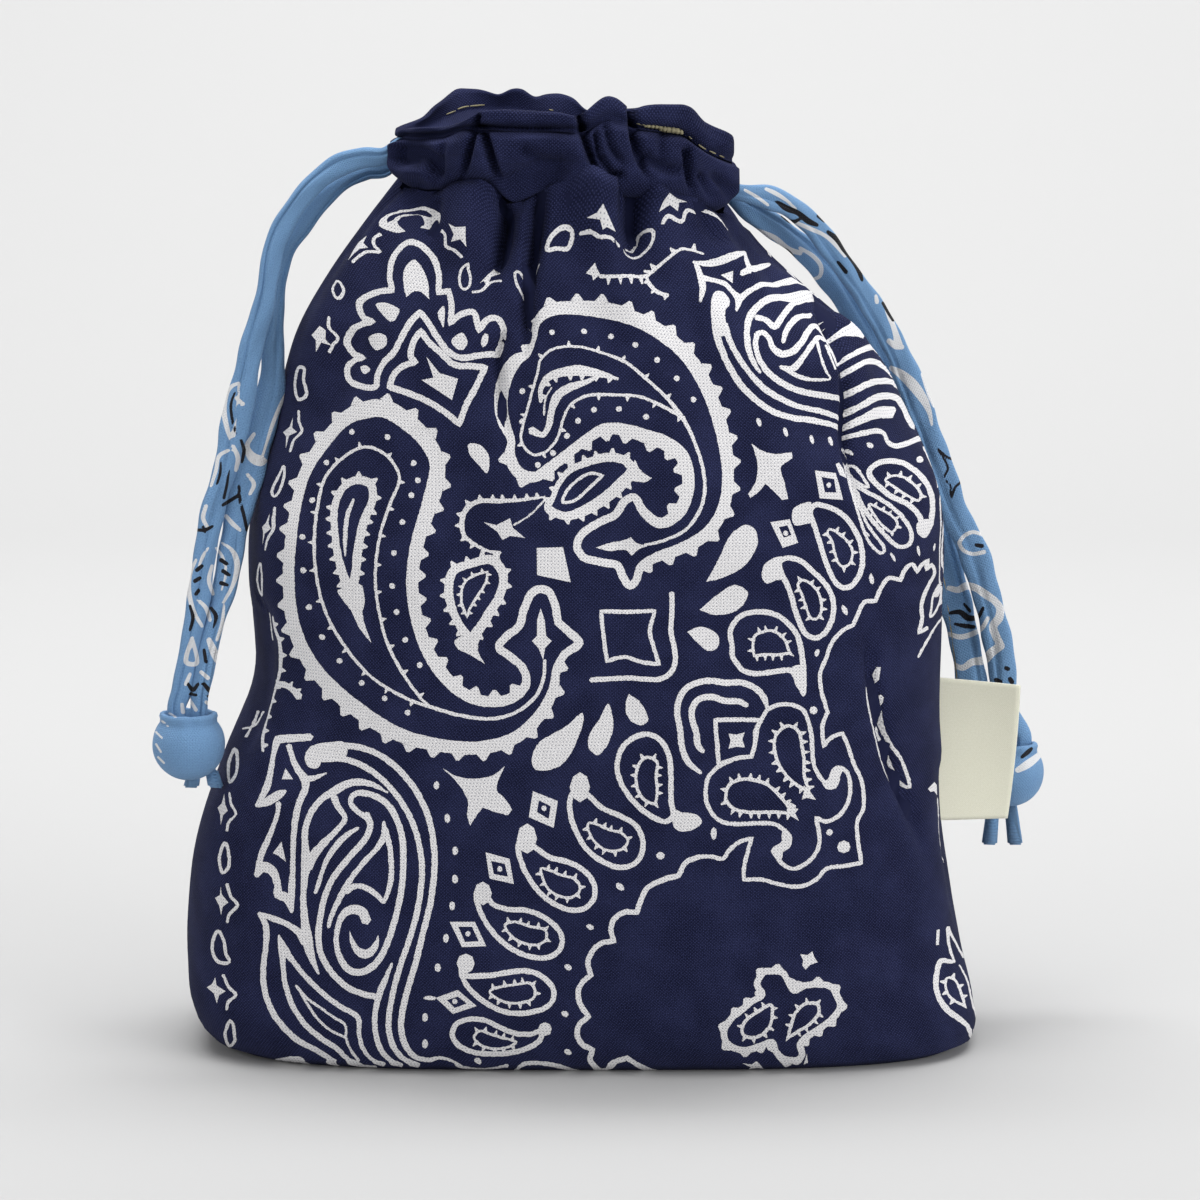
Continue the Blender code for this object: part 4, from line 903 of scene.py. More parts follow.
def folded_panel(plain, side):
    """A panel with its folds, gathers and dents; the seam edges and the base stay plain."""
    normals = grid_normals(plain, side)
    gathered = smooth_step((SHARE_UP - 0.52) / 0.48) ** 1.6
    place = SHARE_ALONG * 0.5 if side < 0 else 1.0 - SHARE_ALONG * 0.5
    ripple = gathered * np.cos(2 * math.pi * 17 * place + 0.8 * np.sin(9 * place))
    depth = -ripple * (0.8 if side < 0 else 2.0) * FROM_SEAM
    if side < 0:
        depth = depth + fold_depth(FRONT_PIXELS, BODY_FOLDS)
    else:
        mirrored = FRONT_PIXELS * np.array((-1.0, 1.0)) + np.array((MIRROR_ACROSS, 0.0))
        depth = depth + fold_depth(mirrored, BODY_FOLDS[:10])
    depth = depth * (0.25 + 0.75 * FROM_SEAM)
    depth = depth + soft_dents(5 if side < 0 else 6, 48.0, 0.55) * FROM_SEAM * smooth_step(SHARE_UP / 0.1)
    moved = plain - normals * depth[..., None]
    if side < 0:
        lift = np.clip(lift_to(plain[-1], SEAM_LINE) + 0.8, -4.0, 9.0) * FROM_SEAM[0]
        lift = np.convolve(np.pad(lift, 6, mode="edge"), np.full(13, 1 / 13), "valid")
        moved[..., 2] += lift * smooth_step((SHARE_UP - 0.93) / 0.07) ** 2
        above = moved[..., 2] - plain[-1, :, 2]
        below = 2.0 * smooth_step(above / 18.0 + 1.0) ** 2
        stand = np.where(above > 0, tunnel_reach(above / NECK_RISE) + 1.5, below)
        curl = smooth_step((SHARE_UP - 0.984) / 0.016) ** 2
        outward = (stand - 1.9 * curl * (above > -2)) * FROM_SEAM
        moved[..., :2] += unit(normals[..., :2]) * outward[..., None]
        moved[..., 2] -= 0.5 * curl * FROM_SEAM
    return moved


FRONT = folded_panel(PLAIN_FRONT, -1.0)
BACK = folded_panel(PLAIN_BACK, 1.0)
FRONT_NORMALS = grid_normals(FRONT, -1.0)
BACK_NORMALS = grid_normals(BACK, 1.0)


def read_grid(values, places):
    """Values of a cloth grid at shares along and up, read between its points."""
    column = np.clip(places[:, 0], 0.0, 1.0) * (COLUMNS - 1)
    row = np.clip(places[:, 1], 0.0, 1.0) * (ROWS - 1)
    c = np.minimum(column.astype(int), COLUMNS - 2)
    r = np.minimum(row.astype(int), ROWS - 2)
    s, t = (column - c)[:, None], (row - r)[:, None]
    low = values[r, c] * (1 - s) + values[r, c + 1] * s
    high = values[r + 1, c] * (1 - s) + values[r + 1, c + 1] * s
    return low * (1 - t) + high * t


# From the photograph to the cloth

def cloth_places(outlines):
    """Shares along and up the front panel at which the drawn pixels lie."""
    coarse = PLAIN_FRONT[::4, ::4]
    rows, columns = coarse.shape[:2]
    verts = coarse.reshape(-1, 3)
    faces = [
        (r * columns + c, r * columns + c + 1, (r + 1) * columns + c + 1, (r + 1) * columns + c)
        for r in range(rows - 1) for c in range(columns - 1)
    ]
    tree = BVHTree.FromPolygons([Vector(v) for v in verts], faces)
    eye = Vector(EYE)
    found = []
    for outline in outlines:
        places = []
        for pixel in outline:
            hit, _, index, _ = tree.ray_cast(eye, Vector(sight_line(pixel)))
            if hit is None:
                near = np.abs(FRONT_PIXELS - pixel).sum(axis=-1)
                r, c = np.unravel_index(near.argmin(), near.shape)
                places.append((c / (COLUMNS - 1), r / (ROWS - 1)))
                continue
            r, c = divmod(index, columns - 1)
            a, b, d = coarse[r, c], coarse[r, c + 1], coarse[r + 1, c]
            step = np.linalg.lstsq(np.stack((b - a, d - a), axis=1), np.array(hit) - a, rcond=None)[0]
            places.append(((c + step[0]) / (columns - 1), (r + step[1]) / (rows - 1)))
        found.append(np.clip(np.array(places), 0.0, 1.0))
    return found


def inside(outline, points):
    """Which points an outline winds round, counted the way its area runs."""
    one, two = outline, np.roll(outline, -1, axis=0)
    x, y = points[:, :1], points[:, 1:]
    left = (two[:, 0] - one[:, 0]) * (y - one[:, 1]) - (x - one[:, 0]) * (two[:, 1] - one[:, 1])
    up = (one[:, 1] <= y) & (two[:, 1] > y) & (left > 0)
    down = (one[:, 1] > y) & (two[:, 1] <= y) & (left < 0)
    return (up.sum(axis=1) - down.sum(axis=1)) > 0


def printed_triangles():
    """Cut one flat panel into triangles along every printed edge, and colour each of them."""
    scale = np.array((PANEL_WIDTH, PANEL_RISE))
    shapes = [places * scale for places in cloth_places([outline for outline, _ in INK])]
    coords = []
    for row in np.concatenate((np.arange(0.0, 0.56, 0.0122), np.linspace(0.56, 1.0, 66))):
        count = 100 if row < 0.555 else 168
        shift = 0.5 * (int(round(row * 1000)) % 2)
        for column in range(count + 1):
            place = min(max((column + (shift if 0 < column < count else 0)) / count, 0.0), 1.0)
            coords.append((place * PANEL_WIDTH, row * PANEL_RISE))
    edges = []
    for shape in shapes:
        start = len(coords)
        coords.extend(map(tuple, shape))
        edges.extend((start + n, start + (n + 1) % len(shape)) for n in range(len(shape)))
    out, _, faces, _, _, _ = delaunay_2d_cdt([Vector(c) for c in coords], edges, [], 0, 0.02, False)
    verts = np.array([(v.x, v.y) for v in out])
    faces = np.array([face for face in faces if len(face) == 3])
    centres = verts[faces].mean(axis=1)
    ink = np.zeros(len(faces), int)
    for shape, (_, colour) in zip(shapes, INK):
        if (shape[:, 0] * np.roll(shape[:, 1], -1) - np.roll(shape[:, 0], -1) * shape[:, 1]).sum() < 0:
            shape = shape[::-1]
        low, high = shape.min(axis=0), shape.max(axis=0)
        near = np.flatnonzero(np.all((centres > low) & (centres < high), axis=1))
        if len(near):
            ink[near[inside(shape, centres[near])]] = colour
    return verts / scale, faces, ink


# Meshes

def make_object(name, mesh, material):
    mesh.materials.append(material)
    made = bpy.data.objects.new(name, mesh)
    bpy.context.collection.objects.link(made)
    return made


def smooth_mesh(name, bm):
    mesh = bpy.data.meshes.new(name)
    bm.to_mesh(mesh)
    bm.free()
    mesh.shade_smooth()
    return mesh


def build(name, verts, faces, material, uv=None, ink=None, normals=None):
    """Make an object from arrays in millimetres; uv is a pair for each vertex, ink a number for each face."""
    mesh = bpy.data.meshes.new(name)
    mesh.from_pydata((np.asarray(verts) * MM).tolist(), [], [list(map(int, face)) for face in faces])
    mesh.polygons.foreach_set("use_smooth", [True] * len(mesh.polygons))
    corners = np.empty(len(mesh.loops), int)
    mesh.loops.foreach_get("vertex_index", corners)
    if uv is not None:
        layer = mesh.uv_layers.new(name="UVMap")
        layer.data.foreach_set("uv", np.asarray(uv, float)[corners].ravel())
    if ink is not None:
        layer = mesh.color_attributes.new("ink", "FLOAT_COLOR", "CORNER")
        totals = np.empty(len(mesh.polygons), int)
        mesh.polygons.foreach_get("loop_total", totals)
        grey = np.repeat(np.asarray(ink, float), totals)
        layer.data.foreach_set("color", np.stack((grey, grey, grey, np.ones_like(grey)), axis=1).ravel())
    mesh.update()
    if normals is not None:
        mesh.normals_split_custom_set_from_vertices(np.asarray(normals).tolist())
    return make_object(name, mesh, material)


def zipper(one, two):
    """Triangles between two open runs of vertices, given as (share, number) pairs."""
    faces = []
    i = j = 0
    while i < len(one) - 1 or j < len(two) - 1:
        if j == len(two) - 1 or (i < len(one) - 1 and one[i + 1][0] <= two[j + 1][0]):
            faces.append((one[i][1], one[i + 1][1], two[j][1]))
            i += 1
        else:
            faces.append((one[i][1], two[j + 1][1], two[j][1]))
            j += 1
    return faces


def make_body(material):
    """The printed bag: two panels cut along the print, the base, and a plain inner wall."""
    places, cut, ink = printed_triangles()
    count = len(places)
    area = np.cross(places[cut[:, 1]] - places[cut[:, 0]], places[cut[:, 2]] - places[cut[:, 0]])
    cut[area < 0] = cut[area < 0][:, ::-1]
    seam = (places[:, 0] < 1e-6) | (places[:, 0] > 1 - 1e-6)
    front_normals, back_normals = read_grid(FRONT_NORMALS, places), read_grid(BACK_NORMALS, places)
    behind = np.where(seam, np.arange(count), -1)
    behind[~seam] = count + np.arange((~seam).sum())
    verts = [*read_grid(FRONT, places), *read_grid(BACK, places)[~seam]]
    shared_normals = np.where(seam[:, None], front_normals + back_normals, front_normals)
    normals = np.vstack((shared_normals, back_normals[~seam]))
    spans = np.linalg.norm(np.diff(PLAIN_FRONT, axis=1), axis=-1).sum(axis=1)
    across = (places[:, 0] - 0.5) * np.interp(places[:, 1], np.linspace(0, 1, ROWS), spans)
    flat_places = np.stack((across, places[:, 1] * PANEL_RISE), axis=1) / 100
    uv = [*flat_places, *flat_places[~seam]]
    faces = [*cut.tolist(), *behind[cut][:, ::-1].tolist()]
    colours = [*ink, *ink]

    low = sorted((places[n, 0], n) for n in np.flatnonzero(places[:, 1] < 1e-6))
    base = [n for _, n in low] + [int(behind[n]) for _, n in low[-2:0:-1]]
    faces.append(base[::-1])
    colours.append(0)

    step_up, step_along = 10, 8
    inner = {}
    for side, grid, facing in ((-1, FRONT, FRONT_NORMALS), (1, BACK, BACK_NORMALS)):
        rows = (grid - facing * CLOTH)[::step_up, ::step_along]
        rows[0, :, 2] = CLOTH
        numbers = np.arange(rows.shape[0] * rows.shape[1]).reshape(rows.shape[:2]) + len(verts)
        verts.extend(rows.reshape(-1, 3))
        normals = np.vstack((normals, -facing[::step_up, ::step_along].reshape(-1, 3)))
        uv.extend(np.zeros((numbers.size, 2)))
        for r in range(numbers.shape[0] - 1):
            for c in range(numbers.shape[1] - 1):
                face = (numbers[r, c], numbers[r + 1, c], numbers[r + 1, c + 1], numbers[r, c + 1])
                faces.append(face if side < 0 else face[::-1])
                colours.append(0)
        inner[side] = numbers
    faces.append([*inner[-1][0], *inner[1][0][-2:0:-1]])
    colours.append(0)
    top = sorted((places[n, 0], n) for n in np.flatnonzero(places[:, 1] > 1 - 1e-6))
    for side in (-1, 1):
        run = [(share, n if side < 0 else int(behind[n])) for share, n in top]
        row = inner[side][-1]
        strip = zipper(run, [(c / (len(row) - 1), int(n)) for c, n in enumerate(row)])
        faces.extend(strip if side < 0 else [face[::-1] for face in strip])
        colours.extend([0] * len(strip))
    return build("printed_body", verts, faces, material, uv, colours, unit(normals))


# Casings

CASING_STATIONS = 321
# Degrees of the neck's turn from a seam to a casing's end, and to where a strap leaves the neck
CASING_END = 12.0
STRAP_END = 14.0


def neck_place(turn, outward, height):
    """Points beside the neck's oval; turn runs 0 left, 0.25 front, 0.5 right, 0.75 back."""
    angle = 2 * math.pi * np.asarray(turn)
    x = NECK_SHIFT - NECK_HALF_WIDTH * np.cos(angle)
    y = -NECK_HALF_DEPTH * np.sin(angle)
    normal = unit(np.stack((-np.cos(angle) / NECK_HALF_WIDTH, -np.sin(angle) / NECK_HALF_DEPTH), axis=-1))
    z = BODY_HEIGHT - NECK_SLOPE * (x - NECK_SHIFT) + SEAT_GAP + height
    return np.stack((x + normal[..., 0] * outward, y + normal[..., 1] * outward, z), axis=-1)


def casing_profile():
    """The folded band's outline: reach outward, shares up its tunnel and its header, and which face it is."""
    points = []
    for t in np.linspace(0.0, 1.0, 27):
        points.append((tunnel_reach(t) - 3.2 * smooth_step((t - 0.84) / 0.16), t, 0.0, 1.0))
    for t in np.linspace(0.06, 0.78, 9):
        points.append((2.5 + 1.5 * smooth_step(t / 0.5), 1.0, t, 1.0))
    for angle in np.radians(np.linspace(8, 172, 8)):
        cosine, sine = math.cos(angle), math.sin(angle)
        points.append((2.7 + 1.3 * cosine, 1.0, 0.78 + 0.22 * sine, math.copysign(1, cosine)))
    for t in np.linspace(0.78, 0.08, 8):
        points.append((1.3 + 0.1 * smooth_step(t / 0.5), 1.0, t, -1.0))
    for t in np.linspace(1.0, 0.0, 22):
        points.append((7.0 * smooth_step((t - 0.84) / 0.16) - tunnel_reach(t), t, 0.0, -1.0))
    return np.array(points)


# Stitches that show: from and to across the picture, half thickness and rise above the line in millimetres
FRONT_STITCHES = (
    (635, 650, 0.40, 0.5), (645, 672, 0.55, 0.1), (660, 682, 0.85, -0.3), (688, 693, 0.22, 0.2),
    (698, 706, 0.22, 0.0), (709, 716, 0.22, 0.0), (719, 724, 0.18, 0.0),
)
BACK_STITCHES = ((446, 456, 0.16, 0.0), (457, 469, 0.2, 0.2), (470, 485, 0.2, 0.2), (548, 554, 0.16, 0.6))


def evened(values):
    """A run of values with its sharp corners taken off."""
    return np.convolve(np.pad(values, 6, mode="edge"), np.hanning(15)[1:-1] / np.hanning(15).sum(), "valid")


def thread(points, thick, first):
    """A short stitch: a six-sided tube along points, numbered from first."""
    points = np.asarray(points)
    along = unit(np.gradient(points, axis=0))
    one = unit(np.cross(along, (0.0, 0.0, 1.0)))
    two = np.cross(along, one)
    taper = thick * np.sin(np.linspace(0.35, math.pi - 0.35, len(points))) ** 0.4
    rings = [
        points + (one * math.cos(a) + two * math.sin(a)) * taper[:, None] for a in np.arange(6) * math.pi / 3
    ]
    verts = np.stack(rings, axis=1).reshape(-1, 3)
    faces = []
    for n in range(len(points) - 1):
        for k in range(6):
            a, b = first + 6 * n + k, first + 6 * n + (k + 1) % 6
            faces.append((a, b, b + 6, a + 6))
    faces.append([first + k for k in range(5, -1, -1)])
    faces.append([first + len(verts) - 6 + k for k in range(6)])
    return verts, faces


def make_casing(name, first_turn, material, side):
    stations = CASING_STATIONS
    share = np.linspace(0.0, 1.0, stations)
    end = CASING_END / 360
    turn = first_turn + end + (0.5 - 2 * end) * share
    fade = smooth_step(np.minimum(share, 1.0 - share) / 0.1)
    wave = np.cos(2 * math.pi * 5.5 * share + 1.3 * np.sin(5 * share)) * fade
    top, line = (FRONT_TOP, FRONT_LINE) if side < 0 else (BACK_TOP, BACK_LINE)
    low = np.zeros(stations)
    if side < 0:
        low = evened(np.clip(lift_to(neck_place(turn, 2.0, 0.0), SEAM_LINE), -4.0, 0.0) * fade)
    high = evened(18.0 + np.clip(lift_to(neck_place(turn, 3.0, 18.0), top), -8.0, 13.0))
    rise = 18.0 + np.clip(lift_to(neck_place(turn, 2.6 if side < 0 else 1.3, 18.0), line), -9.0, 10.0)
    rise = np.minimum(evened(rise), high - 1.6) - low
    profile = casing_profile()
    reach, tunnel, header, facing = profile.T
    slump = 1.3 if side < 0 else 1.9
    sway = 0.8 * np.sin(math.pi * tunnel) ** 2 + slump * header ** 1.5
    outward = reach[None] + wave[:, None] * sway[None]
    height = low[:, None] + rise[:, None] * tunnel[None] + (high - low - rise)[:, None] * header[None]
    mouth = np.sqrt(np.clip(np.minimum(share, 1.0 - share) / 0.05, 0.0, 1.0))[:, None]
    outward = outward * (0.55 + 0.45 * mouth)
    height = 6.5 + (height - 6.5) * (0.82 + 0.18 * mouth)
    if side < 0:
        tucked = smooth_step((474 - in_picture(neck_place(turn, 3.0, 18.0))[:, 0]) / 26)[:, None]
        outward = outward - tucked * 1.4 * smooth_step((tunnel - 0.8) / 0.2 + header)[None]
    turns = np.repeat(turn[:, None], len(profile), axis=1)
    places = neck_place(turns, outward, height)
    if side < 0:
        depth = 1.55 * fold_depth(in_picture(places), CASING_FOLDS, True)
        to_end = np.minimum(share, 1.0 - share)[:, None]
        depth *= smooth_step((to_end - 0.01) / 0.06)
        padded = np.pad(depth, ((7, 7), (0, 0)), "edge")
        softer = sum(padded[k:k + stations] for k in range(15)) / 15
        depth += (softer - depth) * smooth_step((0.22 - to_end) / 0.1)
        depth *= np.where(facing > 0, 1.0, smooth_step((tunnel - 0.85) / 0.15))[None]
        room = np.where((facing > 0)[None] & (height < 13.5), np.maximum(outward - 0.8, 0.0), 9.0)
        outward = outward - np.minimum(depth, room)
        places = neck_place(turns, outward, height)
    middle = 1.95 * smooth_step((tunnel - 0.84) / 0.16)
    lining = middle + facing * np.maximum(facing * (outward - middle) - 0.8, 0.02)
    lining = np.where(header > 0, outward - facing * 0.55, lining)
    lining_height = low[:, None] + rise[:, None] * np.clip(tunnel * 0.92 + 0.04, 0, 1)[None]
    lining = neck_place(turns, lining, 6.5 + (lining_height - 6.5) * (0.82 + 0.18 * mouth))
    ring_size = len(profile)
    verts = np.vstack((places.reshape(-1, 3), lining.reshape(-1, 3)))
    outer = np.arange(stations * ring_size).reshape(stations, ring_size)
    inner = outer + outer.size
    faces = []
    for n in range(ring_size):
        after = (n + 1) % ring_size
        for s in range(stations - 1):
            faces.append((outer[s, n], outer[s + 1, n], outer[s + 1, after], outer[s, after]))
            faces.append((inner[s, n], inner[s, after], inner[s + 1, after], inner[s + 1, n]))
        faces.append((outer[0, n], outer[0, after], inner[0, after], inner[0, n]))
        faces.append((outer[-1, n], inner[-1, n], inner[-1, after], outer[-1, after]))
    round_length = running_length(places[stations // 2])
    along = share * 108.0
    uv = np.stack(np.broadcast_arrays(along[:, None] / 100, round_length[None] / 100), axis=-1).reshape(-1, 2)
    uv = np.vstack((uv, uv + 2.0))
    ink = [0] * len(faces)
    seam = places[:, 27] if side < 0 else places[:, 51]
    across = in_picture(seam)[:, 0]
    for start, stop, thick, lift in FRONT_STITCHES if side < 0 else BACK_STITCHES:
        picked = np.flatnonzero((across > start) & (across < stop))
        if len(picked) > 2:
            run = seam[picked] + np.array((0.0, -0.15 - thick * 0.5, lift))
            more, tube = thread(run, thick, len(verts))
            verts = np.vstack((verts, more))
            uv = np.vstack((uv, np.zeros((len(more), 2)) + 5.0))
            faces.extend(tube)
            ink.extend([1] * len(tube))
    return build(name, verts, faces, material, uv, ink)


# Straps, which are folded strips about 7 mm wide

STRAP_WIDTH = 7.0
STRAP_THICKNESS = 3.0
STRAP_SIDES = 44
STRAND_OFFSET = 2.75
NECK_POINTS = 21
LOWER_STRAND = 3.0
UPPER_STRAND = 7.4
CUP_DEPTH = 2.6
BALL_RADIUS = 8.8
BALL_TOP = 7.7
LEFT_BALL = np.array((-96.7, -25.0, 79.2))
RIGHT_BALL = np.array((109.4, 22.0, 62.6))
# Legs from ball to neck, each point a pixel of the photograph and a depth
LEFT_OUTER_LEG = (
    (182, 690, -25), (187, 660, -24.5), (194, 625, -23.5), (200, 590, -22), (205, 553, -20.5),
    (213, 510, -18.5), (226, 465, -16.5), (236, 420, -14.5), (244, 385, -13), (252, 345, -11.5),
    (264, 305, -10), (269, 275, -9), (275, 245, -8), (289, 216, -7), (311, 187, -6), (336, 167, -5.4),
    (362, 158, -5.2), (384, 156, -5.4),
)
LEFT_INNER_LEG = (
    (200, 690, -25), (206, 660, -24), (214, 625, -22.5), (224, 590, -20.5), (231, 553, -18.5),
    (239, 510, -16), (252, 465, -13), (264, 420, -10.5), (272, 385, -8.5), (273, 345, -7),
    (274, 305, -5.5), (278, 275, -4.5), (286, 250, -3), (303, 224, -1.5), (324, 197, 0), (347, 178, 1.5),
    (367, 169, 2.8), (385, 167, 3.6),
)
RIGHT_OUTER_LEG = (
    (1006, 715, 22), (1004, 690, 22), (1001, 660, 22), (994, 625, 21.7), (986, 593, 21.3),
    (973, 551, 20.8), (953, 509, 20), (939, 467, 19.2), (920, 411, 18.4), (901, 360, 17), (876, 312, 14),
    (847, 271, 10), (815, 228, 5), (789, 206, 1), (767, 197, -2), (748, 194, -4.4),
)
RIGHT_INNER_LEG = (
    (980, 722, 23), (973, 690, 24), (968, 660, 25), (961, 625, 26), (953, 593, 26.8), (943, 551, 27),
    (932, 509, 27), (916, 467, 26.5), (899, 411, 25.5), (880, 360, 24), (858, 318, 21.5), (832, 280, 18),
    (804, 249, 14), (779, 230, 10), (760, 217, 6.5), (745, 208, 4.6),
)


def smooth_route(points, gap=1.2):
    """An even run of points along a smooth curve through a route."""
    points = np.asarray(points, float)
    before, after = np.roll(points, 1, axis=0), np.roll(points, -1, axis=0)
    before[0], after[-1] = points[0], points[-1]
    back = np.linalg.norm(points - before, axis=1)
    ahead = np.linalg.norm(after - points, axis=1)
    slopes = (after - before) / (back + ahead)[:, None]
    fine = []
    for n in range(len(points) - 1):
        t = np.linspace(0, 1, 24, endpoint=False)[:, None]
        fine.append(curve_between(t, points[n], points[n + 1], slopes[n], slopes[n + 1], ahead[n]))
    fine = np.vstack((*fine, points[-1:]))
    length = running_length(fine)
    even = np.linspace(0.0, length[-1], int(length[-1] / gap))
    return np.stack([np.interp(even, length, fine[:, axis]) for axis in range(3)], axis=1), even


def strap_route(outer_leg, inner_leg, ball, side, height):
    """The loop of a strap: ball, side opening, round the neck, side opening, ball."""
    foot = ball[2] + BALL_TOP - CUP_DEPTH + SEAT_GAP
    outer_foot = np.array((ball[0] + side * STRAND_OFFSET, ball[1], foot))
    inner_foot = np.array((ball[0] - side * STRAND_OFFSET, ball[1], foot))
    straight = np.array((0.0, 0.0, CUP_DEPTH + 1.5))
    end = STRAP_END / 360
    if side > 0:
        turns = np.linspace(0.5 - end, end - 0.5, NECK_POINTS)
    else:
        turns = np.linspace(end, 1.0 - end, NECK_POINTS)
    inward = 2.0 * np.sin(np.linspace(0.0, math.pi, NECK_POINTS)) ** 0.35
    run = neck_place(turns, -inward, np.full(NECK_POINTS, height))
    legs = [np.array([place_at(*point) for point in leg]) for leg in (outer_leg, inner_leg[::-1])]
    ends = (outer_foot, outer_foot + straight), (inner_foot + straight, inner_foot)
    points = np.vstack((*ends[0], legs[0], run, legs[1], *ends[1]))
    inside_from = 2 + len(legs[0])
    return points, inside_from, inside_from + NECK_POINTS


# Marks printed on the straps and balls: pixels across and down with a half width, point after point
WHITE_MARKS = (
    (239, 383, 1.2, 232, 386, 1.6, 227, 393, 1.8, 224, 410, 2.2, 227, 428, 2.0, 231, 441, 1.2),
    (239, 384, 1.2, 238, 400, 1.0, 235, 420, 1.2, 234, 436, 1.6),
    (229, 450, 1.4, 219, 456, 1.6, 216, 470, 1.6, 211, 486, 1.2),
    (254, 434, 1.6, 247, 446, 2.2, 252, 457, 4.0, 260, 461, 4.4, 265, 461, 2.0),
    (286, 393, 1.0, 279, 408, 1.5, 272, 426, 1.6, 267, 442, 1.2, 262, 458, 1.0),
    (222, 543, 1.0, 231, 549, 1.6, 236, 558, 2.4, 237, 570, 2.4, 232, 587, 1.6, 223, 603, 1.2),
    (216, 548, 1.0, 222, 556, 1.4, 226, 572, 1.2, 222, 590, 1.0),
    (196, 560, 1.2, 190, 574, 1.8, 189, 592, 2.0, 194, 612, 1.8, 202, 626, 1.4),
    (208, 548, 1.0, 203, 556, 1.4, 199, 566, 1.0),
    (192, 638, 1.6, 186, 662, 2.0, 197, 663, 1.8, 192, 638, 1.6),
    (209, 640, 2.2, 214, 652, 3.4, 217, 660, 2.6), (182, 704, 1.4, 183, 712, 1.8),
    (190, 700, 1.2, 196, 710, 1.6), (206, 702, 1.4, 214, 708, 1.4),
    (217, 640, 1.4, 222, 624, 1.6, 224, 606, 1.0), (233, 446, 1.6, 238, 458, 2.0, 236, 470, 1.6),
    (247, 474, 1.4, 254, 484, 1.8, 250, 494, 1.4), (206, 506, 1.6, 203, 518, 1.8, 208, 528, 1.4),
    (226, 516, 1.6, 233, 524, 2.0, 240, 530, 1.4), (198, 600, 1.4, 206, 608, 1.8, 210, 620, 1.6),
    (212, 566, 1.4, 209, 580, 1.8, 213, 594, 1.4), (201, 672, 1.6, 208, 678, 1.8),
    (190, 674, 1.4, 186, 684, 1.8), (236, 398, 1.4, 243, 404, 1.8),
    (766, 189, 1.4, 775, 193, 1.8, 786, 200, 1.4, 796, 209, 1.0),
    (745, 190, 1.2, 757, 197, 1.4, 768, 205, 1.2),
    (797, 223, 1.6, 811, 229, 1.8, 824, 235, 1.6, 835, 244, 1.8, 845, 256, 1.4),
    (820, 213, 1.2, 834, 226, 1.6, 846, 240, 1.2),
    (746, 228, 2.0, 760, 232, 2.2, 775, 238, 2.2, 788, 249, 2.4, 800, 253, 2.0),
    (800, 248, 1.4, 813, 256, 1.8, 821, 266, 1.8, 820, 276, 1.6, 811, 280, 1.2),
    (862, 262, 1.2, 868, 272, 1.6, 872, 284, 1.2), (876, 296, 1.4, 877, 302, 1.8),
    (884, 298, 1.4, 888, 312, 2.2, 894, 328, 2.2, 899, 345, 3.2),
    (889, 341, 2.2, 896, 346, 2.8, 902, 347, 2.0),
    (891, 368, 2.0, 901, 374, 3.6, 912, 384, 4.6, 922, 397, 3.8, 929, 411, 2.2, 932, 425, 1.0),
    (922, 374, 1.2, 929, 390, 2.8, 934, 406, 1.4),
    (959, 543, 1.6, 964, 536, 1.6, 973, 532, 1.6, 983, 535, 1.4),
    (959, 543, 1.6, 963, 550, 1.6, 973, 554, 1.6, 984, 552, 1.8),
    (949, 588, 2.2, 958, 590, 2.6, 966, 586, 3.2, 976, 588, 3.0, 985, 594, 3.4, 994, 600, 3.0),
    (994, 600, 3.0, 1000, 608, 3.2, 999, 618, 3.6, 993, 626, 3.4, 996, 636, 3.4, 1001, 646, 3.2),
    (1001, 646, 3.2, 992, 652, 3.6, 984, 660, 3.6, 972, 662, 3.0, 962, 668, 2.4, 950, 662, 2.0),
    (949, 634, 1.8, 960, 637, 2.2, 972, 634, 2.2, 982, 628, 2.0, 988, 618, 1.6),
    (156, 744, 0.9, 161, 752, 0.9), (156, 732, 0.9, 162, 738, 0.9), (161, 720, 0.9, 168, 726, 0.9),
    (169, 713, 0.9, 176, 717, 0.9), (158, 757, 0.9, 164, 763, 0.9),
    (1018, 770, 2.4, 1028, 764, 3.4, 1038, 756, 2.6, 1044, 748, 1.4),
)
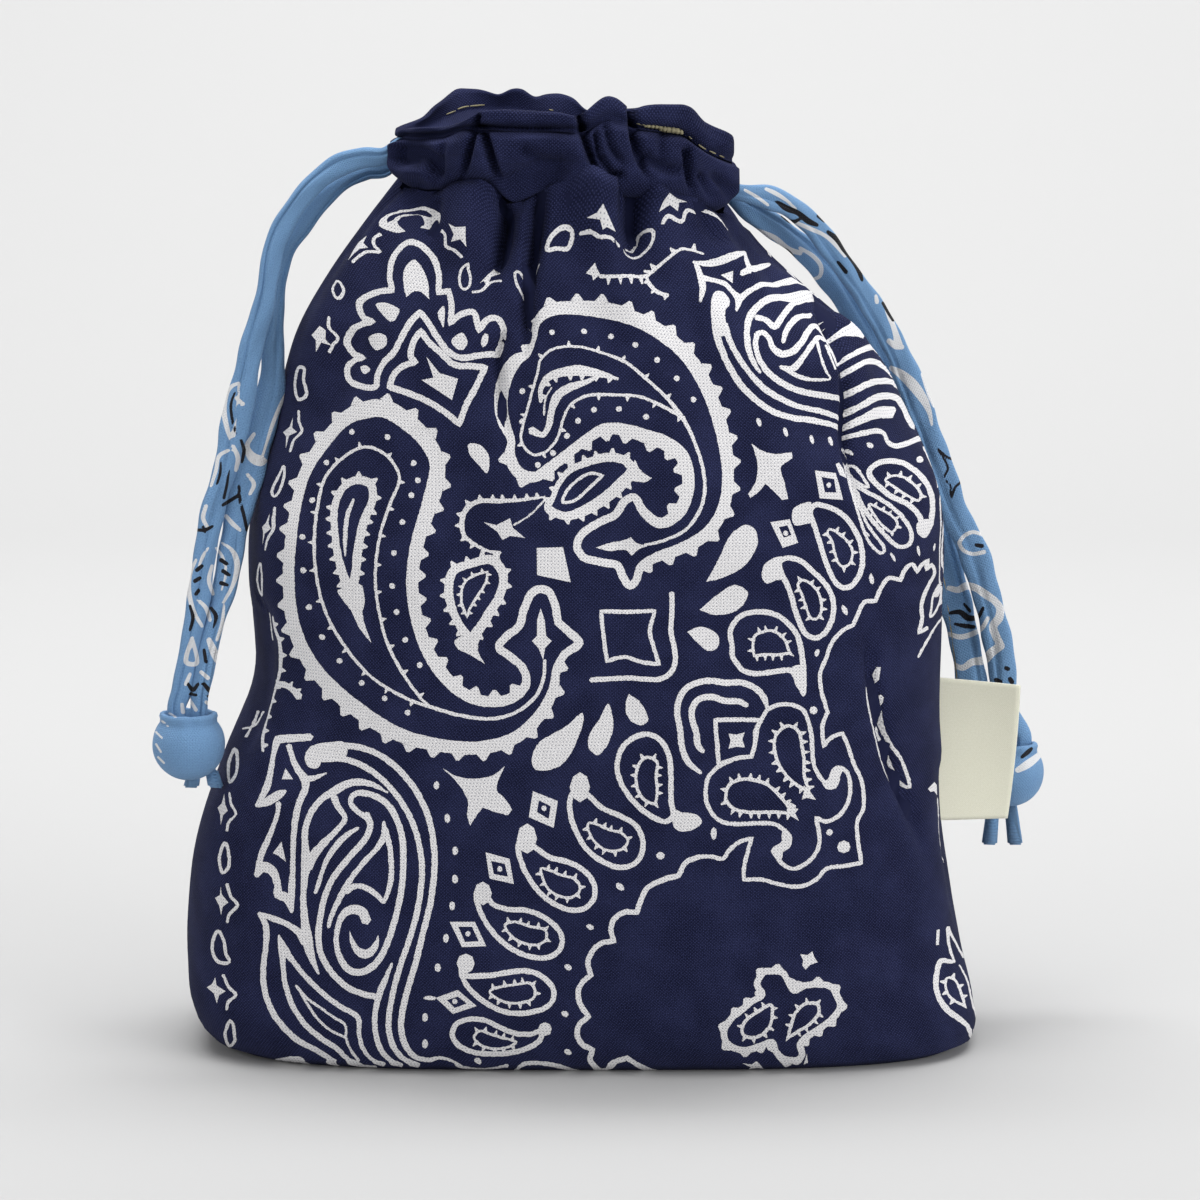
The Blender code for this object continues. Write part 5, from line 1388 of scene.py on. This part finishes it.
BLACK_MARKS = (
    (235, 392, 0.8, 231, 404, 1.2, 232, 418, 1.3, 236, 434, 1.2),
    (221, 462, 0.8, 220, 474, 1.2, 217, 484, 1.0),
    (239, 486, 1.3, 240, 500, 1.5, 244, 516, 1.5, 247, 530, 1.4),
    (239, 495, 1.4, 231, 500, 1.6, 223, 505, 1.4), (229, 470, 0.9, 227, 484, 1.2, 224, 498, 1.3),
    (197, 530, 1.3, 205, 530, 1.6, 213, 526, 1.2), (203, 526, 0.9, 205, 532, 1.2),
    (221, 560, 1.8, 227, 564, 1.6), (223, 571, 1.8, 229, 575, 1.6), (221, 583, 1.8, 227, 585, 1.5),
    (202, 566, 1.6, 197, 570, 1.8), (200, 578, 1.6, 195, 581, 1.8), (199, 590, 1.6, 196, 594, 1.6),
    (188, 684, 1.4, 193, 690, 1.8, 198, 684, 1.4), (190, 694, 1.2, 196, 695, 1.4),
    (204, 684, 1.6, 211, 691, 2.0, 219, 684, 1.4), (208, 696, 1.2, 214, 697, 1.2),
    (241, 440, 1.2, 244, 450, 1.6, 242, 462, 1.2), (211, 608, 1.4, 216, 616, 1.8, 214, 628, 1.2),
    (190, 606, 1.2, 193, 618, 1.6, 190, 630, 1.2), (204, 650, 1.4, 206, 662, 1.6),
    (775, 200, 1.2, 786, 208, 2.6, 798, 213, 2.2, 808, 221, 2.6, 817, 225, 1.6),
    (782, 216, 1.2, 792, 222, 1.8, 800, 219, 1.2), (828, 232, 1.6, 838, 240, 2.6, 844, 249, 2.4),
    (844, 249, 2.4, 852, 258, 2.8, 858, 268, 2.4, 862, 280, 1.4), (818, 216, 1.4, 824, 221, 1.4),
    (764, 239, 1.2, 776, 246, 2.2, 789, 253, 2.0, 796, 262, 1.2), (838, 262, 1.4, 846, 272, 1.8),
    (883, 303, 1.4, 889, 312, 2.2, 893, 320, 1.4),
    (938, 449, 1.0, 947, 457, 1.1, 955, 461, 1.0, 957, 470, 1.0, 961, 481, 1.1, 955, 487, 1.0),
    (955, 487, 1.0, 951, 498, 1.0, 950, 485, 1.0, 944, 478, 1.0, 948, 468, 1.0, 938, 449, 1.0),
    (976, 545, 1.6, 982, 546, 1.8),
    (950, 613, 1.4, 960, 612, 2.2, 968, 618, 2.6, 978, 617, 1.8, 983, 608, 1.4),
    (955, 624, 1.2, 965, 626, 2.0, 974, 627, 1.6), (964, 604, 1.2, 970, 611, 1.4),
    (1006, 668, 1.8, 1008, 669, 1.8), (996, 680, 2.0, 1000, 682, 2.2), (1010, 679, 2.0, 1012, 682, 2.0),
    (1022, 757, 1.4, 1028, 752, 2.0, 1032, 748, 1.2),
)
EDGE_THREAD = (
    (941, 560, 0.5, 946, 592, 0.5, 951, 630, 0.5, 957, 678, 0.5),
)


def mark_field(pixels, runs):
    """Above a half inside the drawn marks, a half at their edges and below it beyond them."""
    field = np.full(len(pixels), -9.0)
    for run in runs:
        run = smooth_run(triples(run), False, 1.0, 3.0)[:, :3] * (1.0, 1.0, 1.2)
        low, high = run[:, :2].min(axis=0) - 8, run[:, :2].max(axis=0) + 8
        near = np.all((pixels > low) & (pixels < high), axis=1)
        here = pixels[near]
        best = np.full(len(here), -9.0)
        for one, two in zip(run, run[1:]):
            step = (two - one)[:2]
            share = np.clip((here - one[:2]) @ step / max(step @ step, 1e-6), 0.0, 1.0)
            away = np.linalg.norm(here - one[:2] - share[:, None] * step, axis=1)
            best = np.maximum(best, one[2] + (two[2] - one[2]) * share - away)
        field[near] = np.maximum(field[near], best)
    return np.clip(0.5 + field / 6.0, 0.0, 1.0)


def add_marks(mesh):
    """Give each vertex its place in the white, black and thread marks."""
    verts = np.empty(len(mesh.vertices) * 3)
    mesh.vertices.foreach_get("co", verts)
    pixels = in_picture(verts.reshape(-1, 3) / MM)
    fields = [mark_field(pixels, runs) for runs in (WHITE_MARKS, BLACK_MARKS, EDGE_THREAD)]
    layer = mesh.color_attributes.new("marks", "FLOAT_COLOR", "POINT")
    layer.data.foreach_set("color", np.stack((*fields, np.ones(len(pixels))), axis=1).ravel())


def make_strap(name, route, twists, material):
    """A folded strip along a route, narrow in the casing and turned by a twist along its way."""
    points, first, last = route
    places, length = smooth_route(points, 0.5)
    knots = running_length(points)
    knots *= length[-1] / knots[-1]
    enter, leave = knots[first], knots[last - 1]
    along = unit(np.gradient(places, axis=0))
    across = unit(np.cross(along, SIGHT))
    hidden = smooth_step((length - enter + 14) / 10) * smooth_step((leave + 14 - length) / 10)
    upright = unit(np.array((0.0, 0.0, 1.0)) - along * along[:, 2:3])
    upright *= np.sign((upright * across).sum(axis=1, keepdims=True) + 1e-9)
    across = across * (1 - hidden[:, None]) + upright * hidden[:, None]
    across = unit(across - along * (across * along).sum(axis=1, keepdims=True))
    through = np.cross(along, across)
    twists = np.array(twists, float)
    angle = np.radians(np.interp(length / length[-1], twists[:, 0], twists[:, 1])) * (1 - hidden)
    open_width = 1 + (np.interp(length / length[-1], twists[:, 0], twists[:, 2]) - 1) * (1 - hidden)
    one = across * np.cos(angle)[:, None] + through * np.sin(angle)[:, None]
    two = through * np.cos(angle)[:, None] - across * np.sin(angle)[:, None]
    gather = smooth_step(np.minimum(length, length[-1] - length) / 9.0)
    wide = (STRAP_WIDTH / 2) * (0.74 + 0.26 * gather) * (1 - 0.45 * hidden)
    waver = 0.05 * np.sin(length * 0.27) + 0.04 * np.sin(length * 0.61 + 1)
    wide = wide * open_width * (1.03 + waver * (1 - hidden))
    thick = (STRAP_THICKNESS / 2) * (1.25 - 0.25 * gather) * (1 + 0.1 * np.sin(length * 0.23 + 2))
    thick = thick * (1 + 0.5 * np.maximum(1 - open_width, 0.0))
    sides = STRAP_SIDES
    verts, uv = [], []
    for n in range(sides):
        turn = 2 * math.pi * n / sides
        a = math.copysign(abs(math.cos(turn)) ** 0.8, math.cos(turn))
        b = math.copysign(abs(math.sin(turn)) ** 0.9, math.sin(turn))
        crease = (0.35 if b > 0 else -0.3) + 0.22 * np.sin(length * 0.05 + 2 * (b > 0))
        groove = 1.0 - 0.6 * np.exp(-((a - crease) / 0.12) ** 2) + 0.12 * np.sin(length * 0.33 + 3 * a)
        verts.append(places + one * (wide * a)[:, None] + two * (thick * b * groove)[:, None])
        uv.append(np.stack((length / 100, np.full(len(length), a * 0.035 + 0.1 * (b > 0))), axis=1))
    verts, uv = np.stack(verts, axis=1), np.stack(uv, axis=1)
    stations = len(places)
    numbers = np.arange(stations * sides).reshape(stations, sides)
    faces = []
    for n in range(sides):
        after = (n + 1) % sides
        faces.extend(zip(numbers[:-1, n], numbers[:-1, after], numbers[1:, after], numbers[1:, n]))
    faces.extend((numbers[0][::-1].tolist(), numbers[-1].tolist()))
    made = build(name, verts.reshape(-1, 3), faces, material, uv.reshape(-1, 2))
    add_marks(made.data)
    return made, places, length[-1]


# Stopper balls

BALL_SIDES = 120
RIM_RADIUS = 6.7
RIM_WALL = 1.1


def make_ball(name, centre, tail, aside, material, seed):
    """A cloth-covered ball: pleats gathered into a raised rim, a cup, and the strap's two tails below."""
    source = np.random.default_rng(seed)
    bm = bmesh.new()
    rim, wall, top = RIM_RADIUS, RIM_WALL, BALL_TOP
    profile = [(BALL_RADIUS * math.sin(a), -BALL_RADIUS * math.cos(a)) for a in np.linspace(0.02, 2.24, 48)]
    profile += [(rim + 0.15, top - 1.5), (rim + 0.35, top - 0.7), (rim + 0.1, top), (rim - 0.5, top + 0.25)]
    profile += [(rim - wall, top - 0.1), (rim - wall - 0.2, top - CUP_DEPTH * 0.6)]
    profile += [(rim - 2.2, top - CUP_DEPTH), (0.02, top - CUP_DEPTH)]
    sides = BALL_SIDES
    petals = source.uniform(-1, 1, 7)
    rows = []
    for radius, z in profile:
        row = []
        for n in range(sides):
            angle = 2 * math.pi * n / sides
            upper = smooth_step((z + 2.0) / 9.0)
            wave = math.cos(7 * angle + petals[0]) + 0.6 * math.cos(11 * angle + petals[1] * 3)
            r = radius * (1 + 0.022 * wave * upper) if radius > 1 else radius
            lift = 0.22 * wave * smooth_step((z - 7.4) / 1.2) if radius > 3 else 0.0
            pleat = 0.035 * radius * upper * abs(math.cos(2.5 * angle + petals[3])) ** 6
            sag = 0.012 * math.cos(2 * angle + petals[2]) * radius - pleat
            row.append(bm.verts.new(((r + sag) * math.cos(angle), (r + sag) * math.sin(angle), z + lift)))
        rows.append(row)
    for low, high in zip(rows, rows[1:]):
        for n in range(sides):
            bm.faces.new((low[n], low[(n + 1) % sides], high[(n + 1) % sides], high[n]))
    bm.faces.new(rows[0][::-1])
    bm.faces.new(rows[-1])
    for side in (-1.0, 1.0):
        made = bmesh.ops.create_cube(bm, size=1.0)["verts"]
        spread = source.uniform(0.7, 1.3)
        for vert in made:
            share = 0.5 - vert.co.z
            vert.co.x = vert.co.x * (3.0 + 0.9 * share) + side * (2.0 + 1.3 * share * spread) + aside
            vert.co.y = vert.co.y * 1.9 + 0.6 * source.uniform(-1, 1) + abs(aside) * 0.6
            vert.co.z = -BALL_RADIUS + 2.2 - (2.2 + tail) * share
        bmesh.ops.bevel(
            bm, geom=list({e for v in made for e in v.link_edges}), offset=0.5, segments=3, affect="EDGES"
        )
    layer = bm.loops.layers.uv.new("UVMap")
    for face in bm.faces:
        for loop in face.loops:
            x, y, z = loop.vert.co
            loop[layer].uv = (math.atan2(y, x) * BALL_RADIUS / 100, z / 100 + 1.0)
    bmesh.ops.recalc_face_normals(bm, faces=bm.faces)
    bmesh.ops.scale(bm, vec=(MM, MM, MM), verts=bm.verts)
    bmesh.ops.translate(bm, vec=Vector(centre * MM), verts=bm.verts)
    mesh = smooth_mesh(name, bm)
    add_marks(mesh)
    return make_object(name, mesh, material)


# Side tag

TAG_WIDTH = 21.4
TAG_HEIGHT = 36.7
TAG_LOW = 54.8


def make_tag(material):
    """A folded tape sewn into the side seam, bare on both faces."""
    bm = bmesh.new()
    columns, rows = 21, 34
    seam = np.interp(np.linspace(0, 1, rows), (0, 1), (88.6, 88.2)) - 1.5
    outline = []
    for t in np.linspace(0.0, 1.0, columns):
        outline.append((t * (TAG_WIDTH + 1.0), -0.55 + 0.1 * math.sin(3 * t)))
    outline.append((TAG_WIDTH + 1.45, 0.0))
    for t in np.linspace(1.0, 0.0, columns):
        outline.append((t * (TAG_WIDTH + 1.0), 0.55 + 0.1 * math.sin(3 * t)))
    grid = []
    for r, share in enumerate(np.linspace(0.0, 1.0, rows)):
        row = []
        for x, y in outline:
            bend = 0.9 * math.sin(2.2 * x / TAG_WIDTH + share) * (x / TAG_WIDTH) ** 2
            lean = 0.35 * math.sin(2.6 * share) * x / TAG_WIDTH
            turned = math.radians(24.0 - 24.0 * share)
            z = TAG_LOW + TAG_HEIGHT * share + 0.012 * x * (1 - 2 * share) - 0.085 * x
            across, back = x * math.cos(turned) - y * math.sin(turned), x * math.sin(turned) + y
            row.append(bm.verts.new(((seam[r] + across) * MM, (back + bend + lean) * MM, z * MM)))
        grid.append(row)
    for low, high in zip(grid, grid[1:]):
        for n in range(len(outline) - 1):
            bm.faces.new((low[n], low[n + 1], high[n + 1], high[n]))
    bmesh.ops.recalc_face_normals(bm, faces=bm.faces)
    bmesh.ops.solidify(bm, geom=list(bm.faces), thickness=0.28 * MM)
    layer = bm.loops.layers.uv.new("UVMap")
    for face in bm.faces:
        for loop in face.loops:
            loop[layer].uv = (loop.vert.co.x / MM / 100, loop.vert.co.z / MM / 100)
    bmesh.ops.recalc_face_normals(bm, faces=bm.faces)
    return make_object("tape_tag", smooth_mesh("tape_tag", bm), material)


# Materials

class Value:
    """A number inside a shader that takes part in ordinary sums."""

    def __init__(self, tree, socket):
        self.tree = tree
        self.socket = socket

    def of(self, operation, *others):
        node = self.tree.nodes.new("ShaderNodeMath")
        node.operation = operation
        for place, item in zip(node.inputs, (self, *others)):
            if isinstance(item, Value):
                self.tree.links.new(item.socket, place)
            else:
                place.default_value = item
        return Value(self.tree, node.outputs[0])

    def __add__(self, other):
        return self.of("ADD", other)

    def __sub__(self, other):
        return self.of("SUBTRACT", other)

    def __mul__(self, other):
        return self.of("MULTIPLY", other)

    def sine(self):
        return self.of("SINE")

    def step(self, low, high):
        """0 below low, 1 above high, smooth between them."""
        node = self.tree.nodes.new("ShaderNodeMapRange")
        node.interpolation_type = "SMOOTHSTEP"
        self.tree.links.new(self.socket, node.inputs["Value"])
        node.inputs["From Min"].default_value = low
        node.inputs["From Max"].default_value = high
        return Value(self.tree, node.outputs["Result"])


def new_material(name, roughness, sheen=0.0, specular=0.25):
    material = bpy.data.materials.new(name)
    material.use_nodes = True
    shader = material.node_tree.nodes["Principled BSDF"]
    shader.inputs["Roughness"].default_value = roughness
    shader.inputs["Specular IOR Level"].default_value = specular
    shader.inputs["Sheen Weight"].default_value = sheen
    shader.inputs["Sheen Roughness"].default_value = 0.45
    return material, material.node_tree, shader


def cloth_axes(tree):
    """The cloth's two directions in millimetres."""
    node = tree.nodes.new("ShaderNodeUVMap")
    node.uv_map = "UVMap"
    parts = tree.nodes.new("ShaderNodeSeparateXYZ")
    tree.links.new(node.outputs["UV"], parts.inputs["Vector"])
    return node, Value(tree, parts.outputs["X"]) * 100.0, Value(tree, parts.outputs["Y"]) * 100.0


def noise(tree, vector, scale, detail=2.0):
    node = tree.nodes.new("ShaderNodeTexNoise")
    node.inputs["Scale"].default_value = scale
    node.inputs["Detail"].default_value = detail
    tree.links.new(vector, node.inputs["Vector"])
    return Value(tree, node.outputs["Fac"])


def mix(tree, share, one, two):
    """Blend two colours, each a constant or a socket."""
    node = tree.nodes.new("ShaderNodeMix")
    node.data_type = "RGBA"
    tree.links.new(share.socket, node.inputs["Factor"])
    for place, item in ((node.inputs["A"], one), (node.inputs["B"], two)):
        if isinstance(item, tuple):
            place.default_value = (*item, 1.0)
        else:
            tree.links.new(item, place)
    return node.outputs["Result"]


def bump(tree, shader, height, distance, strength=1.0):
    node = tree.nodes.new("ShaderNodeBump")
    node.inputs["Distance"].default_value = distance
    node.inputs["Strength"].default_value = strength
    tree.links.new(height.socket, node.inputs["Height"])
    tree.links.new(node.outputs["Normal"], shader.inputs["Normal"])


def weave(across, up, pitch):
    """Height of a plain weave, from 0 to 1, and how close a place is to a hole between threads."""
    turn = 2 * math.pi / pitch
    one, two = (across * turn).sine(), (up * turn).sine()
    return one * two * 0.25 + (one.of("ABSOLUTE") + two.of("ABSOLUTE")) * 0.25, (one * 0.5 + two * 0.5)


THREAD_PITCH = 0.84
NAVY = (0.0042, 0.0056, 0.0235)
# NAVY_LIGHT is the lighter yarn tone, and also a painted highlight on the crowns of the threads where they
# cross
NAVY_LIGHT = (0.035, 0.042, 0.118)
WHITE = (0.80, 0.79, 0.80)
# Painted shade in the holes between the white print's threads
WHITE_HOLE_SHADE = (0.30, 0.31, 0.37)
# BLUE is the darker yarn tone, and also painted shade in the holes between threads
BLUE = (0.112, 0.232, 0.43)
BLUE_LIGHT = (0.18, 0.335, 0.56)
BLACK = (0.010, 0.010, 0.014)
WHITE_ON_BLUE = (0.72, 0.73, 0.75)
EDGE_BROWN = (0.42, 0.36, 0.20)
CREAM = (0.78, 0.77, 0.62)


def cotton(name, paper, hole_shade_colour):
    """Navy plain-weave cotton; its print or its stitches are a colour attribute. Painted highlight lightens
    the thread crossings, and painted shade darkens the holes between threads.
    """
    material, tree, shader = new_material(name, 0.88, 0.015, 0.1)
    uv, across, up = cloth_axes(tree)
    height, hole = weave(across, up, THREAD_PITCH)
    slub = noise(tree, uv.outputs["UV"], 260.0, 3.0)
    wear = noise(tree, uv.outputs["UV"], 9.0, 3.0)
    turn = 2 * math.pi / THREAD_PITCH
    # Painted highlight: light dots on the thread crossings. The wear and slub noise are the cloth's own
    # uneven tone.
    crown_highlight = ((across * turn).sine() * (up * turn).sine()).step(0.15, 0.9)
    share = wear.step(0.3, 0.75) * 0.25 + crown_highlight * 0.75 + slub.step(0.35, 0.8) * 0.4
    ground = mix(tree, share, NAVY, NAVY_LIGHT)
    ink = tree.nodes.new("ShaderNodeVertexColor")
    ink.layer_name = "ink"
    # Painted shade: the print or stitch colour darkens towards the holes between threads
    paper = mix(tree, hole.step(0.52, 0.95) * 0.9, paper, hole_shade_colour)
    ground = mix(tree, Value(tree, ink.outputs["Color"]), ground, paper)
    tree.links.new(ground, shader.inputs["Base Color"])
    bump(tree, shader, height + slub * 0.6, 0.00022, 1.0)
    return material


def printed_blue(name):
    """Light blue cotton whose white and black marks are a colour attribute. Painted shade darkens the blue
    towards the holes between threads.
    """
    material, tree, shader = new_material(name, 0.82, 0.1, 0.2)
    uv, across, up = cloth_axes(tree)
    height, hole = weave(across, up, 0.8)
    slub = noise(tree, uv.outputs["UV"], 240.0, 3.0)
    marks = tree.nodes.new("ShaderNodeVertexColor")
    marks.layer_name = "marks"
    parts = tree.nodes.new("ShaderNodeSeparateColor")
    tree.links.new(marks.outputs["Color"], parts.inputs["Color"])
    # Partly the yarn's own uneven tone from the slub noise, partly painted shade that darkens the blue
    # towards the holes between threads
    colour = mix(tree, slub.step(0.3, 0.8) * 0.6 + hole.step(0.5, 0.95) * 0.4, BLUE_LIGHT, BLUE)
    for channel, tone in (("Red", WHITE_ON_BLUE), ("Green", BLACK), ("Blue", EDGE_BROWN)):
        field = Value(tree, parts.outputs[channel]) + (slub - 0.5) * 0.05
        colour = mix(tree, field.step(0.46, 0.54), colour, tone)
    tree.links.new(colour, shader.inputs["Base Color"])
    bump(tree, shader, height + slub * 0.6, 0.00022, 1.0)
    return material


def plain_cloth(name, dark, light, pitch, roughness):
    material, tree, shader = new_material(name, roughness, 0.2)
    uv, across, up = cloth_axes(tree)
    height, _ = weave(across, up, pitch)
    slub = noise(tree, uv.outputs["UV"], 240.0, 3.0)
    tree.links.new(mix(tree, slub.step(0.25, 0.8), dark, light), shader.inputs["Base Color"])
    bump(tree, shader, height + slub * 0.5, 0.0001, 0.8)
    return material


# Build

navy_print = cotton("navy print cotton", WHITE, WHITE_HOLE_SHADE)
# The stitches' cream, with a darker cream painted as shade in the holes between threads
navy_plain = cotton("navy cotton", (0.56, 0.52, 0.36), (0.30, 0.27, 0.17))
blue_print = printed_blue("blue print cotton")
cream_tape = plain_cloth("cream tape", CREAM, (0.84, 0.83, 0.69), 0.5, 0.6)

body = make_body(navy_print)
front_casing = make_casing("front_band", 0.0, navy_plain, -1)
back_casing = make_casing("back_band", 0.5, navy_plain, 1)
left_route = strap_route(LEFT_OUTER_LEG, LEFT_INNER_LEG, LEFT_BALL, -1, UPPER_STRAND)
right_route = strap_route(RIGHT_OUTER_LEG, RIGHT_INNER_LEG, RIGHT_BALL, 1, LOWER_STRAND)
# Share along each strap, how far it is turned in degrees, and how open it lies
LEFT_TWISTS = (
    (0.0, 30, 0.74), (0.04, 30, 0.70), (0.07, 20, 0.80), (0.115, 35, 0.82), (0.155, 5, 1.0),
    (0.185, 22, 0.8), (0.21, 18, 0.72), (0.24, 10, 0.70), (0.3, 5, 0.74), (0.7, 5, 0.72),
    (0.76, -20, 0.66), (0.79, -28, 0.68), (0.815, -15, 0.8), (0.845, 0, 0.95), (0.885, 10, 1.04),
    (0.93, 20, 0.85), (0.96, 32, 0.70), (1.0, 30, 0.74),
)
RIGHT_TWISTS = (
    (0.0, 10, 0.9), (0.05, -6, 1.0), (0.1, -6, 1.04), (0.18, -8, 0.98), (0.23, 15, 0.8), (0.27, 12, 0.78),
    (0.3, 5, 0.8), (0.7, 10, 0.8), (0.74, -20, 0.95), (0.8, -10, 1.0), (0.9, 6, 1.12), (0.95, 8, 1.1),
    (1.0, 10, 0.9),
)
left_strap, left_path, left_length = make_strap("left_strap", left_route, LEFT_TWISTS, blue_print)
right_strap, right_path, right_length = make_strap("right_strap", right_route, RIGHT_TWISTS, blue_print)
left_ball = make_ball("left_ball", LEFT_BALL, 2.4, 3.2, blue_print, 3)
right_ball = make_ball("right_ball", RIGHT_BALL, 10.5, -1.6, blue_print, 4)
tag = make_tag(cream_tape)

# Stage: a pale sweep, one light above, two beside the camera and one on the wall behind

def lit_paper():
    """Pale matt paper of one tone."""
    material, _, shader = new_material("paper_sweep", 0.9, 0.0, 0.1)
    shader.inputs["Base Color"].default_value = (0.525, 0.525, 0.525, 1.0)
    return material


def make_sweep(material):
    outline = [(-2.2, 0.0), (0.9, 0.0)]
    outline += [(0.9 + 0.8 * math.sin(a), 0.8 - 0.8 * math.cos(a)) for a in np.linspace(0.1, math.pi / 2, 14)]
    outline.append((1.7, 3.0))
    verts = [(x, y, z) for y, z in outline for x in (-3.0, 3.0)]
    faces = [(2 * n, 2 * n + 1, 2 * n + 3, 2 * n + 2) for n in range(len(outline) - 1)]
    mesh = bpy.data.meshes.new("paper_sweep")
    mesh.from_pydata(verts, [], faces)
    mesh.shade_smooth()
    return make_object("paper_sweep", mesh, material)


def add_light(name, place, target, size, power):
    data = bpy.data.lights.new(name, "AREA")
    data.shape = "RECTANGLE"
    data.size, data.size_y = size
    data.energy = power
    made = bpy.data.objects.new(name, data)
    made.location = place
    made.rotation_euler = (Vector(target) - Vector(place)).to_track_quat("-Z", "Y").to_euler()
    bpy.context.collection.objects.link(made)


sweep = make_sweep(lit_paper())
add_light("top_light", (0.0, -0.1, 1.5), (0.0, 0.0, 0.1), (1.3, 1.1), 15.0)
add_light("left_light", (-1.3, -1.1, 0.7), (0.0, 0.0, 0.1), (1.0, 1.2), 7.0)
add_light("right_light", (1.4, -1.0, 0.5), (0.0, 0.0, 0.1), (1.0, 1.2), 17.6)
add_light("back_light", (0.0, 0.5, 1.9), (0.0, 1.7, 0.6), (2.4, 0.8), 41.0)

world = bpy.data.worlds.new("studio")
bpy.context.scene.world = world
world.use_nodes = True
world.node_tree.nodes["Background"].inputs["Color"].default_value = (1.0, 1.0, 1.0, 1.0)
world.node_tree.nodes["Background"].inputs["Strength"].default_value = 0.26

camera_data = bpy.data.cameras.new("camera")
camera_data.sensor_width = 36.0
camera_data.lens = FOCAL_PIXELS / PICTURE_PIXELS * 36.0
camera_data.clip_start = 0.05
camera = bpy.data.objects.new("camera", camera_data)
camera.location = Vector(EYE * MM)
camera.rotation_euler = (math.pi / 2 - CAMERA_TILT, 0.0, 0.0)
bpy.context.collection.objects.link(camera)
bpy.context.scene.camera = camera
bpy.context.scene.view_settings.view_transform = "Standard"

# What each piece is to the frame
for piece, node, slot in (
    (body, "pouch_body", "navy_print_cotton"), (front_casing, "front_casing", "navy_cotton"),
    (back_casing, "back_casing", "navy_cotton"), (left_strap, "left_cord", "blue_cotton"),
    (right_strap, "right_cord", "blue_cotton"), (left_ball, "left_cord_ball", "blue_cotton"),
    (right_ball, "right_cord_ball", "blue_cotton"), (tag, "side_tag", "cream_tape"),
):
    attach(piece, "root")
    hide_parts(node)
TOP_OF_BALL = np.array((0.0, 0.0, BALL_RADIUS))
for piece, path, length, ball, with_ball in (
    (left_strap, left_path, left_length, LEFT_BALL, left_ball),
    (right_strap, right_path, right_length, RIGHT_BALL, right_ball),
):
    Vector((ball + TOP_OF_BALL) * MM)
    length * MM
    [Vector(p) for p in path * MM]
